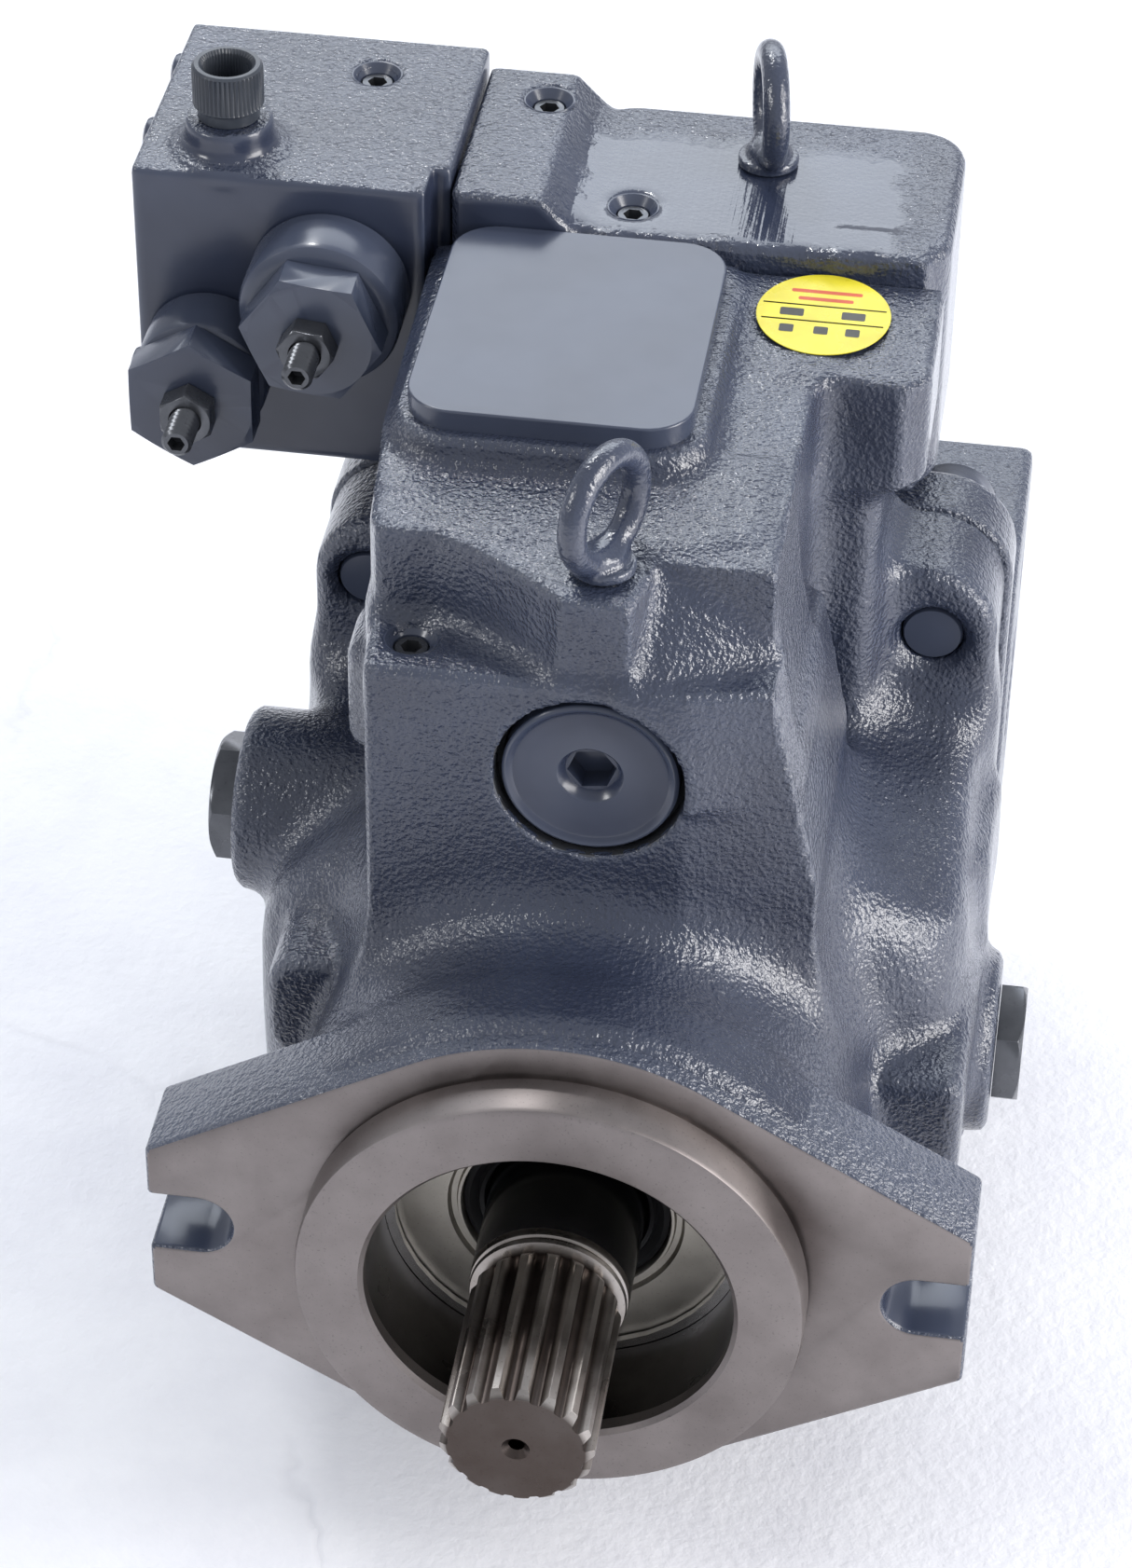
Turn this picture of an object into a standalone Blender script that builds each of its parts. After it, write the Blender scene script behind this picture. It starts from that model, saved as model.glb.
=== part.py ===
"""Swash plate axial piston pump with a two-bolt flange, built at rest as an assembly of separate parts.

The frame: the origin is on the shaft's axis at the face of the mounting flange. The shaft points
along -Y, +X is to the right of someone who faces the shaft's end, and +Z is up.
"""

import math

import bmesh
import bpy
from mathutils import Quaternion, Vector

MM = 0.001
GAP = 0.3 * MM
JOIN = 0.05 * MM

# Mounting flange, pilot and neck
PILOT_RADIUS = 63.5 * MM
PILOT_HEIGHT = 12.7 * MM
PILOT_BORE_RADIUS = 46.2 * MM
FLANGE_THICKNESS = 24 * MM
FLANGE_ROUND_RADIUS = 72.5 * MM
FLANGE_HALF_WIDTH = 103 * MM
FLANGE_END_HALF_HEIGHT = 24 * MM
SLOT_CENTRE = 90.5 * MM
SLOT_RADIUS = 8.75 * MM
NECK_RADIUS = 73.5 * MM

# Casing
HOUSING_FRONT = 47 * MM
BODY_FRONT = 80 * MM
BODY_HALF_WIDTH = 91.5 * MM
BODY_TOP = 62 * MM
BODY_BOTTOM = -100 * MM
BODY_CORNER = 42 * MM
REAR_FLANGE_FRONT = 157 * MM
CASING_REAR = 186 * MM
REAR_FLANGE_HALF_HEIGHT = 112 * MM
EAR_TOP = 108.5 * MM
DECK_FRONT_HEIGHT = 169 * MM
DECK_REAR_HEIGHT = 178 * MM
PAD_HEIGHT = 184 * MM
PLINTH_HEIGHT = 178.5 * MM
CAVITY_RADIUS = 67.5 * MM
CAVITY_FRONT = 57 * MM
COVER_BOLT_X = 75 * MM
COVER_BOLT_Z = 88 * MM
COVER_BOLT_RADIUS = 8 * MM

# Rear cover, regulator and compensator block
COVER_EAR_THICKNESS = 20 * MM
COVER_REAR = 292 * MM
PORT_FACE = 95 * MM
PORT_HALF_HEIGHT = 60.7 * MM
REGULATOR_REAR = 253.5 * MM
BLOCK_LEFT = -138.5 * MM
BLOCK_RIGHT = -57.8 * MM
BLOCK_NOTCH = -62.5 * MM
BLOCK_FRONT = 177 * MM
BLOCK_BOTTOM = 112.6 * MM
BLOCK_TOP = 197 * MM
LARGE_ADJUSTER = (-87 * MM, 168 * MM)
SMALL_ADJUSTER = (-118.7 * MM, 144.5 * MM)

# Shaft and rotating group
SHAFT_TIP = -62 * MM
SHAFT_REAR = 214 * MM
SPLINE_TEETH = 17
SPLINE_TIP_RADIUS = 18.9 * MM
SPLINE_ROOT_RADIUS = 16.4 * MM
SHOULDER_FRONT = -9 * MM
JOURNAL_RADIUS = 20 * MM
SEAL_COVER_FRONT = 19 * MM
SWASH_FACE_Y = 100 * MM
SHOE_BALL_Y = 108.5 * MM
SWASH_PIVOT_Y = SHOE_BALL_Y
SWASH_BACK_RADIUS = 46.5 * MM
PISTONS = 9
PISTON_PITCH_RADIUS = 44 * MM
PISTON_RADIUS = 10.5 * MM
BARREL_FRONT = 126.5 * MM
BARREL_REAR = 180.5 * MM
BARREL_RADIUS = 61 * MM

# Servo piston above the rotating group
SERVO_HEIGHT = 117.3 * MM
SERVO_LARGE_RADIUS = 22.2 * MM
SERVO_SMALL_RADIUS = 15 * MM
ARM_LEAN = math.radians(8)
SERVO_PIN_Y = SWASH_PIVOT_Y + SERVO_HEIGHT * math.tan(ARM_LEAN)

# Threaded plugs and fittings
DRAIN_Y = 120 * MM
LEFT_DRAIN_Z = 41.4 * MM
RIGHT_DRAIN_Z = -16.5 * MM
LEFT_DRAIN_FACE = 101.2 * MM
RIGHT_DRAIN_FACE = 102 * MM
DRAIN_BOSS_RADIUS = 24.5 * MM
FRONT_EYE = (0.3 * MM, 62 * MM, 169.5 * MM)
REAR_EYE = (20 * MM, 228 * MM, 184 * MM)
EYE_RADIUS = 13.5 * MM
EYE_WIRE = 3.5 * MM
EYE_HEIGHT = 17.5 * MM
EYE_THREAD_RADIUS = 4 * MM
LABEL_CENTRE = (41 * MM, 168.5 * MM)
LABEL_RADIUS = 17 * MM
PLUG_RADIUS = 4.3 * MM
GALLERY_PLUGS = (
    (-45.5 * MM, 60.5 * MM, 144.5 * MM),
    (-39.5 * MM, 238 * MM, 191.5 * MM),
    (-12 * MM, 201.5 * MM, 183.5 * MM),
    (-85 * MM, 235 * MM, 196.5 * MM),
)
SIDE_PLUGS = ((242 * MM, 187 * MM), (208 * MM, 187 * MM), (182 * MM, 132.5 * MM))
CAP_PLACE = (-115.5 * MM, 192 * MM)

PAINT = ("painted_casting", (0.085, 0.098, 0.125), 0.35, 0.0)
STEEL = ("machined_steel", (0.42, 0.41, 0.40), 0.35, 1.0)
BRONZE = ("bearing_bronze", (0.55, 0.38, 0.20), 0.35, 1.0)
RUBBER = ("black_rubber", (0.015, 0.015, 0.016), 0.6, 0.0)
PLASTIC = ("dark_plastic", (0.05, 0.055, 0.065), 0.45, 0.0)
YELLOW = ("yellow_label", (0.85, 0.76, 0.06), 0.4, 0.0)
SPRING = ("spring_steel", (0.25, 0.25, 0.26), 0.4, 1.0)

PARTS = "axial_piston_pump"
CUTTERS = "cutters"
AXES = {"X": Vector((1, 0, 0)), "Y": Vector((0, 1, 0)), "Z": Vector((0, 0, 1))}


def clear_scene():
    for old in list(bpy.data.objects):
        bpy.data.objects.remove(old, do_unlink=True)
    for name in (PARTS, CUTTERS):
        bpy.context.scene.collection.children.link(bpy.data.collections.new(name))


def material(finish):
    name, colour, roughness, metallic = finish
    found = bpy.data.materials.get(name)
    if found:
        return found
    made = bpy.data.materials.new(name)
    made.use_nodes = True
    shader = made.node_tree.nodes["Principled BSDF"]
    shader.inputs["Base Color"].default_value = (*colour, 1)
    shader.inputs["Roughness"].default_value = roughness
    shader.inputs["Metallic"].default_value = metallic
    made.diffuse_color = (*colour, 1)
    return made


def link(obj, collection):
    bpy.data.collections[collection].objects.link(obj)
    return obj


def as_part(obj, name, finish):
    """Names a shape as one of the pump's parts and gives it its material."""
    obj.name = name
    obj.data.materials.clear()
    obj.data.materials.append(material(finish))
    for owner in list(obj.users_collection):
        owner.objects.unlink(obj)
    return link(obj, PARTS)


def as_helper(obj):
    """Keeps a shape that only cuts or joins another one out of the result."""
    obj.hide_render = True
    obj.display_type = "WIRE"
    return obj


def from_bmesh(bm, location=(0, 0, 0)):
    mesh = bpy.data.meshes.new("shape")
    bm.to_mesh(mesh)
    bm.free()
    obj = bpy.data.objects.new("shape", mesh)
    obj.location = location
    return link(obj, CUTTERS)


def smooth(obj):
    obj.data.shade_smooth()
    obj.data.set_sharp_from_angle(angle=math.radians(35))
    return obj


def realise(obj):
    """A new mesh object that holds what a curve or a stack of modifiers evaluates to, with its seams welded."""
    bpy.context.view_layer.update()
    graph = bpy.context.evaluated_depsgraph_get()
    mesh = bpy.data.meshes.new_from_object(obj.evaluated_get(graph))
    bm = bmesh.new()
    bm.from_mesh(mesh)
    bmesh.ops.remove_doubles(bm, verts=bm.verts, dist=1e-6)
    bmesh.ops.recalc_face_normals(bm, faces=bm.faces)
    bm.to_mesh(mesh)
    bm.free()
    made = bpy.data.objects.new("shape", mesh)
    made.matrix_world = obj.matrix_world
    bpy.data.objects.remove(obj, do_unlink=True)
    return link(made, CUTTERS)


def box(low, high):
    bm = bmesh.new()
    bmesh.ops.create_cube(bm, size=1)
    size = Vector(high) - Vector(low)
    bmesh.ops.scale(bm, vec=size, verts=bm.verts)
    return from_bmesh(bm, (Vector(high) + Vector(low)) / 2)


def cylinder(start, axis, length, radius, end_radius=None, segments=32, turn=0.0):
    """A cylinder, cone or prism whose axis starts at a point; length may be negative."""
    bm = bmesh.new()
    bmesh.ops.create_cone(
        bm,
        cap_ends=True,
        segments=segments,
        radius1=radius,
        radius2=radius if end_radius is None else end_radius,
        depth=abs(length),
    )
    bmesh.ops.translate(bm, vec=(0, 0, abs(length) / 2), verts=bm.verts)
    obj = from_bmesh(bm, start)
    direction = AXES[axis] * (1 if length > 0 else -1)
    obj.rotation_euler = direction.to_track_quat("Z", "Y").to_euler()
    if turn:
        obj.rotation_euler.rotate_axis("Z", turn)
    return smooth(obj) if segments > 12 else obj


def turned(profile, location=(0, 0, 0), axis="Y", steps=32, yaw=0.0):
    """A turned shape from (radius, distance along the axis) points that run round the section once."""
    bm = bmesh.new()
    corners = [bm.verts.new((radius, 0, along)) for radius, along in profile]
    on_axis = profile[0][0] == 0 and profile[-1][0] == 0
    for index in range(len(corners) - (1 if on_axis else 0)):
        bm.edges.new((corners[index], corners[(index + 1) % len(corners)]))
    obj = from_bmesh(bm, location)
    screw = obj.modifiers.new("turn", "SCREW")
    screw.axis = "Z"
    screw.steps = screw.render_steps = steps
    screw.use_merge_vertices = True
    screw.merge_threshold = 1e-6
    facing = AXES[axis].to_track_quat("Z", "Y")
    obj.rotation_euler = (Quaternion(AXES["Z"], yaw) @ facing).to_euler()
    return smooth(realise(obj))


def outline_prism(points, axis, start, end):
    """A flat outline filled and extruded between two places along an axis.

    The outline's points are (X, Z) for axis Y, (X, Y) for axis Z and (Y, Z) for axis X.
    """
    curve = bpy.data.curves.new("outline", "CURVE")
    curve.dimensions = "2D"
    curve.fill_mode = "BOTH"
    curve.extrude = abs(end - start) / 2
    line = curve.splines.new("POLY")
    line.points.add(len(points) - 1)
    for corner, (across, up) in zip(line.points, points):
        corner.co = (across, up, 0, 1)
    line.use_cyclic_u = True
    obj = link(bpy.data.objects.new("outline", curve), CUTTERS)
    middle = (start + end) / 2
    if axis == "Y":
        obj.rotation_euler = (math.radians(90), 0, 0)
        obj.location = (0, middle, 0)
    elif axis == "X":
        obj.rotation_euler = (math.radians(90), 0, math.radians(90))
        obj.location = (middle, 0, 0)
    else:
        obj.location = (0, 0, middle)
    return realise(obj)


def arc(centre, radius, start, end, steps):
    """Points on an arc, with its angles in degrees."""
    angles = [math.radians(start + (end - start) * step / steps) for step in range(steps + 1)]
    return [(centre[0] + radius * math.cos(a), centre[1] + radius * math.sin(a)) for a in angles]


def rounded_rectangle(left, right, bottom, top, radius, steps=5):
    corners = (
        ((right - radius, top - radius), 0),
        ((left + radius, top - radius), 90),
        ((left + radius, bottom + radius), 180),
        ((right - radius, bottom + radius), 270),
    )
    points = []
    for centre, angle in corners:
        points += arc(centre, radius, angle, angle + 90, steps)
    return points


def combine(obj, operation, others):
    for other in others:
        modifier = obj.modifiers.new(operation.lower(), "BOOLEAN")
        modifier.operation = operation
        modifier.solver = "EXACT"
        modifier.object = as_helper(other)
    return obj


def join(obj, *others):
    return combine(obj, "UNION", others)


def cut(obj, *others):
    return combine(obj, "DIFFERENCE", others)


# ---------------------------------------------------------------- casing


def flange_outline():
    corner = math.hypot(FLANGE_HALF_WIDTH, FLANGE_END_HALF_HEIGHT)
    corner_angle = math.degrees(math.atan2(FLANGE_END_HALF_HEIGHT, FLANGE_HALF_WIDTH))
    tangent = corner_angle + math.degrees(math.acos(FLANGE_ROUND_RADIUS / corner))
    points = [(FLANGE_HALF_WIDTH, -FLANGE_END_HALF_HEIGHT), (FLANGE_HALF_WIDTH, FLANGE_END_HALF_HEIGHT)]
    points += arc((0, 0), FLANGE_ROUND_RADIUS, tangent, 180 - tangent, 12)
    points += [(-FLANGE_HALF_WIDTH, FLANGE_END_HALF_HEIGHT), (-FLANGE_HALF_WIDTH, -FLANGE_END_HALF_HEIGHT)]
    points += arc((0, 0), FLANGE_ROUND_RADIUS, 180 + tangent, 360 - tangent, 12)
    return points


def bolt_slot(side):
    """The outline of an open-ended bolt slot at the left (-1) or right (1) end of the flange."""
    outer = side * (FLANGE_HALF_WIDTH + 5 * MM)
    inner = arc((side * SLOT_CENTRE, 0), SLOT_RADIUS, 90, 90 + side * 180, 8)
    return [(outer, SLOT_RADIUS), *inner, (outer, -SLOT_RADIUS)]


def casing_outside():
    """The casing's cast shapes, from the flange back to the rear flange."""
    pilot = cylinder((0, -PILOT_HEIGHT, 0), "Y", PILOT_HEIGHT + 10 * MM, PILOT_RADIUS, segments=48)
    neck = cylinder((0, 10 * MM, 0), "Y", 80 * MM, NECK_RADIUS, segments=48)
    body = outline_prism(
        rounded_rectangle(-BODY_HALF_WIDTH, BODY_HALF_WIDTH, BODY_BOTTOM, BODY_TOP, BODY_CORNER),
        "Y", BODY_FRONT, 165 * MM,
    )
    rear_flange = outline_prism(
        rounded_rectangle(-89.5 * MM, 92 * MM, -REAR_FLANGE_HALF_HEIGHT, EAR_TOP, 20 * MM),
        "Y", REAR_FLANGE_FRONT, CASING_REAR,
    )
    foot = box((-60 * MM, 88 * MM, -REAR_FLANGE_HALF_HEIGHT), (60 * MM, 170 * MM, -90 * MM))
    rear_wall = box((30 * MM, 146 * MM, 40 * MM), (60 * MM, CASING_REAR, 146 * MM))
    return [pilot, neck, servo_housing(), deck(), body, rear_flange, rear_wall, foot, mounting_pad()]


def servo_housing():
    """The upright slab round the servo piston, with its flat front and its slanted right side."""
    plan = [
        (-55 * MM, HOUSING_FRONT), (22.6 * MM, HOUSING_FRONT), (56 * MM, 56 * MM),
        (56 * MM, 130 * MM), (-58 * MM, 130 * MM), (-58 * MM, 75 * MM),
    ]
    slab = outline_prism(plan, "Z", 30 * MM, 145 * MM)
    side = [(42 * MM, 146 * MM), (60 * MM, 60 * MM), (80 * MM, 60 * MM), (80 * MM, 146 * MM)]
    return cut(slab, outline_prism(side, "Y", 30 * MM, 140 * MM))


def deck():
    """The upper body: its front comes to a prow under the eyebolt, and its top rises to the rear."""
    plan = [
        (-55.5 * MM, 69 * MM), (-42 * MM, 69 * MM), (-30 * MM, 64 * MM), (-12 * MM, 52 * MM),
        (-8 * MM, 48.5 * MM), (10 * MM, 48.5 * MM), (13 * MM, 60 * MM), (41 * MM, 60 * MM),
        (41 * MM, 186 * MM), (-61 * MM, 186 * MM), (-61 * MM, 110 * MM), (-58 * MM, 75 * MM),
    ]
    block = join(outline_prism(plan, "Z", 100 * MM, 190 * MM), rear_step())
    above = [
        (40 * MM, DECK_FRONT_HEIGHT), (187 * MM, DECK_REAR_HEIGHT),
        (190 * MM, 200 * MM), (40 * MM, 200 * MM),
    ]
    return cut(block, outline_prism(above, "X", -90 * MM, 90 * MM))


def mounting_pad():
    """The machined pad on the deck, which stands on a wider cast plinth."""
    pad = rounded_rectangle(-55 * MM, 15.5 * MM, 100 * MM, CASING_REAR, 12 * MM, 4)
    plinth = rounded_rectangle(-58.5 * MM, 20 * MM, 96 * MM, CASING_REAR, 15 * MM, 4)
    top = outline_prism(pad, "Z", 160 * MM, PAD_HEIGHT)
    return join(top, outline_prism(plinth, "Z", 160 * MM, PLINTH_HEIGHT))


def rear_step():
    plan = [
        (35 * MM, 146 * MM), (64 * MM, 142 * MM), (70.5 * MM, 148 * MM),
        (70.5 * MM, 186 * MM), (35 * MM, 186 * MM),
    ]
    return outline_prism(plan, "Z", 143 * MM, 190 * MM)


def casing_bosses():
    """Drain bosses, the ledges beside them and the lugs behind the flange."""
    left = cylinder((-80 * MM, DRAIN_Y, LEFT_DRAIN_Z), "X", 80 * MM - LEFT_DRAIN_FACE, DRAIN_BOSS_RADIUS)
    right = cylinder((80 * MM, DRAIN_Y, RIGHT_DRAIN_Z), "X", RIGHT_DRAIN_FACE - 80 * MM, DRAIN_BOSS_RADIUS)
    ledge = box((80 * MM, 122 * MM, -60 * MM), (96 * MM, 162 * MM, 43 * MM))
    lug = box((-66 * MM, 80 * MM, 92 * MM), (-54 * MM, 102 * MM, 125 * MM))
    left_plan = rounded_rectangle(-81 * MM, -58 * MM, 8 * MM, 40 * MM, 7 * MM, 3)
    right_plan = rounded_rectangle(73 * MM, 96 * MM, -16 * MM, 18.5 * MM, 5 * MM, 3)
    left_ear = outline_prism(left_plan, "Y", 60 * MM, 90 * MM)
    right_ear = outline_prism(right_plan, "Y", 60 * MM, 126 * MM)
    return [left, right, ledge, lug, left_ear, right_ear]


def casing_openings():
    """Everything that is bored, milled or drilled in the casing."""
    bore = cylinder((0, -20 * MM, 0), "Y", 54 * MM, PILOT_BORE_RADIUS, segments=48)
    groove = cylinder((0, 16.6 * MM, 0), "Y", 2.2 * MM, PILOT_BORE_RADIUS + 1.6 * MM, segments=48)
    bearing_seat = cylinder((0, 30 * MM, 0), "Y", 40 * MM, 40.3 * MM, segments=48)
    cavity = cylinder((0, CAVITY_FRONT, 0), "Y", 140 * MM, CAVITY_RADIUS, segments=48)
    servo_front = cylinder((0, 40 * MM, SERVO_HEIGHT), "Y", 72 * MM, 22.5 * MM)
    servo_rear = cylinder((0, 100 * MM, SERVO_HEIGHT), "Y", 70 * MM, 15.3 * MM)
    pin_slot = box((-9 * MM, 82 * MM, 40 * MM), (9 * MM, 135 * MM, 108 * MM))
    arm_room = box((-17 * MM, CAVITY_FRONT, 40 * MM), (17 * MM, 130 * MM, 84 * MM))
    slots = [outline_prism(bolt_slot(side), "Y", -5 * MM, FLANGE_THICKNESS + 2 * MM) for side in (-1, 1)]
    drains = [
        cylinder((-60 * MM, DRAIN_Y, LEFT_DRAIN_Z), "X", -60 * MM, 11 * MM, segments=24),
        cylinder((60 * MM, DRAIN_Y, RIGHT_DRAIN_Z), "X", 60 * MM, 11 * MM, segments=24),
    ]
    eye_seat = cylinder(FRONT_EYE, "Z", 20 * MM, 10 * MM, segments=24)
    eye_hole = cylinder((*FRONT_EYE[:2], 152 * MM), "Z", 40 * MM, EYE_THREAD_RADIUS + GAP, segments=16)
    gallery = cylinder((*GALLERY_PLUGS[0][:2], 130 * MM), "Z", 30 * MM, PLUG_RADIUS + GAP, segments=16)
    bores = [bore, groove, bearing_seat, cavity, servo_front, servo_rear]
    return bores + [pin_slot, arm_room, eye_seat, eye_hole, gallery] + slots + drains + cover_bolt_holes()


def cover_bolt_places():
    return [(x * COVER_BOLT_X, z * COVER_BOLT_Z) for x, z in ((-1, 1), (1, 1), (-1, -1), (1, -1))]


def cover_bolt_holes():
    holes = []
    for x, z in cover_bolt_places():
        holes.append(cylinder((x, 150 * MM, z), "Y", 45 * MM, COVER_BOLT_RADIUS + GAP, segments=20))
        holes.append(cylinder((x, 150 * MM, z), "Y", 11 * MM, 9.4 * MM, segments=24))
    return holes


def make_casing():
    flange = outline_prism(flange_outline(), "Y", 0, FLANGE_THICKNESS)
    casing = join(flange, *casing_outside(), *casing_bosses())
    cut(casing, *casing_openings())
    return as_part(casing, "casing", PAINT)


# ---------------------------------------------------------------- rear cover, regulator, block


def port_holes(side, radius, bolt_across, bolt_up):
    """A port's bore and its four bolt holes in one side face of the rear cover."""
    y = 254.5 * MM
    holes = [cylinder((side * (PORT_FACE + 5 * MM), y, 0), "X", -side * 62 * MM, radius, segments=20)]
    for across in (-bolt_across, bolt_across):
        for up in (-bolt_up, bolt_up):
            start = (side * (PORT_FACE + 5 * MM), y + across, up)
            holes.append(cylinder(start, "X", -side * 25 * MM, 5.5 * MM, segments=8))
    return holes


def make_valve_cover():
    """The rear cover's flange, which carries the rear bearing and the valve plate."""
    rear = CASING_REAR + COVER_EAR_THICKNESS
    outline = rounded_rectangle(-91 * MM, 94 * MM, -REAR_FLANGE_HALF_HEIGHT, EAR_TOP, 21 * MM)
    cover = outline_prism(outline, "Y", CASING_REAR + GAP, rear)
    bolts = [
        cylinder((x, CASING_REAR - 5 * MM, z), "Y", 40 * MM, COVER_BOLT_RADIUS + GAP, segments=20)
        for x, z in cover_bolt_places()
    ]
    cut(cover, bearing_bore(), *kidneys(), *bolts)
    return as_part(cover, "valve_cover", PAINT)


def make_port_block():
    """The rear cover's block behind its flange, with the suction and pressure ports in its sides."""
    front = CASING_REAR + COVER_EAR_THICKNESS + JOIN
    half_height = REAR_FLANGE_HALF_HEIGHT
    core = box((-60 * MM, front, -half_height), (60 * MM, 262 * MM, half_height))
    ports = box((-PORT_FACE, 217 * MM, -PORT_HALF_HEIGHT), (PORT_FACE, COVER_REAR, PORT_HALF_HEIGHT))
    neck = box((-60 * MM, front, -50 * MM), (62 * MM, 225 * MM, 50 * MM))
    block = join(core, ports, neck)
    bores = port_holes(1, 19 * MM, 17.5 * MM, 30 * MM) + port_holes(-1, 25 * MM, 21.5 * MM, 38 * MM)
    cut(block, bearing_bore(), *kidneys(), *bores)
    return as_part(block, "port_block", PAINT)


def bearing_bore():
    return cylinder((0, CASING_REAR - 5 * MM, 0), "Y", 38 * MM, 21.3 * MM, segments=24)


def kidneys():
    return [outline_prism(kidney(side), "Y", CASING_REAR - 5 * MM, 240 * MM) for side in (-1, 1)]


def kidney(side):
    """The curved slot that a group of cylinders passes, on the left (-1) or right (1)."""
    outer = arc((0, 0), PISTON_PITCH_RADIUS + 6 * MM, -55, 55, 5)
    inner = arc((0, 0), PISTON_PITCH_RADIUS - 6 * MM, 55, -55, 5)
    return [(side * x, z) for x, z in outer + inner]


def make_regulator():
    """The valve body behind the casing, between the compensator block and the servo piston."""
    front = CASING_REAR + GAP
    bottom = REAR_FLANGE_HALF_HEIGHT + GAP
    plan = rounded_rectangle(-29 * MM, 71 * MM, front, REGULATOR_REAR, 13 * MM)
    main = outline_prism(plan, "Z", bottom, PAD_HEIGHT)
    corner = box((40 * MM, front, bottom), (66 * MM, front + 14 * MM, PAD_HEIGHT))
    left = box((-57.3 * MM, front, bottom), (-20 * MM, REGULATOR_REAR, 160 * MM))
    section = [
        (-57.3 * MM, 150 * MM), (-57.3 * MM, 192 * MM), (-34 * MM, 192 * MM), (-25 * MM, 183 * MM),
        (-20 * MM, 150 * MM),
    ]
    raised = outline_prism(section, "Y", front + 0.2 * MM, REGULATOR_REAR - 0.2 * MM)
    eye_hole = cylinder((*REAR_EYE[:2], 165 * MM), "Z", 40 * MM, EYE_THREAD_RADIUS + GAP, segments=16)
    plugs = [plug_hole(*place) for place in GALLERY_PLUGS[1:3]]
    cut(join(main, corner, left, raised), eye_hole, *plugs)
    return as_part(main, "regulator_body", PAINT)


def plug_hole(x, y, z):
    """A blind hole for one of the small socket plugs whose top is at a height."""
    return cylinder((x, y, z - 9 * MM), "Z", 20 * MM, PLUG_RADIUS + GAP, segments=16)


def make_block():
    """The compensator block: two spool chambers side by side, with their adjusters at the front."""
    block = box((BLOCK_LEFT, BLOCK_FRONT, BLOCK_BOTTOM), (BLOCK_RIGHT, REGULATOR_REAR, BLOCK_TOP))
    notch = box((BLOCK_NOTCH, 170 * MM, 100 * MM), (-50 * MM, 189.5 * MM, 210 * MM))
    boss = turned(
        [
            (0, 9 * MM), (10.8 * MM, 9 * MM), (11.4 * MM, 4 * MM),
            (14.5 * MM, 0), (14.5 * MM, -3 * MM), (0, -3 * MM),
        ],
        (*CAP_PLACE, BLOCK_TOP), "Z", 24,
    )
    cap_hole = cylinder((*CAP_PLACE, BLOCK_TOP - 14 * MM), "Z", 40 * MM, 6.3 * MM, segments=20)
    chambers = [
        cylinder((x, BLOCK_FRONT - 5 * MM, z), "Y", 74 * MM, 12 * MM, segments=24)
        for x, z in (LARGE_ADJUSTER, SMALL_ADJUSTER)
    ]
    side_holes = [cylinder((-150 * MM, y, z), "X", 22 * MM, 4.3 * MM, segments=12) for y, z in SIDE_PLUGS]
    cut(join(block, boss), notch, cap_hole, *chambers, *side_holes, plug_hole(*GALLERY_PLUGS[3]))
    return as_part(block, "compensator_block", PAINT)


# ---------------------------------------------------------------- shaft, seal and bearings


def spline_outline():
    points = []
    step = 360 / SPLINE_TEETH
    for tooth in range(SPLINE_TEETH):
        for share, radius in ((-0.33, 0), (-0.17, 1), (0.17, 1), (0.33, 0)):
            angle = math.radians((tooth + share) * step)
            size = SPLINE_TIP_RADIUS if radius else SPLINE_ROOT_RADIUS
            points.append((size * math.cos(angle), size * math.sin(angle)))
    return points


def make_shaft():
    """The drive shaft: splined end, seal journal, bearing seats and the section that drives the barrel."""
    profile = [
        (0, 10.5 * MM), (16.4 * MM, 10.5 * MM), (16.4 * MM, 52 * MM), (JOURNAL_RADIUS, 53 * MM),
        (JOURNAL_RADIUS, 95 * MM), (22.5 * MM, 96 * MM), (22.5 * MM, 118 * MM), (18.5 * MM, 119 * MM),
        (18.5 * MM, 243 * MM), (15 * MM, 245 * MM), (15 * MM, 276 * MM), (0, 276 * MM),
    ]
    shaft = turned(profile[::-1], (0, SHAFT_TIP, 0), "Y", 40)
    spline = outline_prism(spline_outline(), "Y", SHAFT_TIP, SHOULDER_FRONT - 3 * MM)
    envelope = turned(
        [(0, 70 * MM), (25 * MM, 70 * MM), (25 * MM, 8 * MM), (17.1 * MM, -0.2 * MM), (0, -0.2 * MM)],
        (0, SHAFT_TIP, 0), "Y", 40,
    )
    combine(spline, "INTERSECT", [envelope])
    join(shaft, spline)
    cut(shaft, cylinder((0, SHAFT_TIP - 1 * MM, 0), "Y", 16 * MM, 3.9 * MM, segments=16))
    return as_part(shaft, "drive_shaft", STEEL)


def ring(inner, outer, front, rear, name, finish, steps=36, chamfer=0.0):
    """A turned ring about the shaft's axis."""
    points = [
        (inner, rear), (outer - chamfer, rear), (outer, rear - chamfer), (outer, front + chamfer),
        (outer - chamfer, front), (inner, front),
    ]
    if not chamfer:
        points = [(inner, rear), (outer, rear), (outer, front), (inner, front)]
    return as_part(turned(points, (0, 0, 0), "Y", steps), name, finish)


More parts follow.
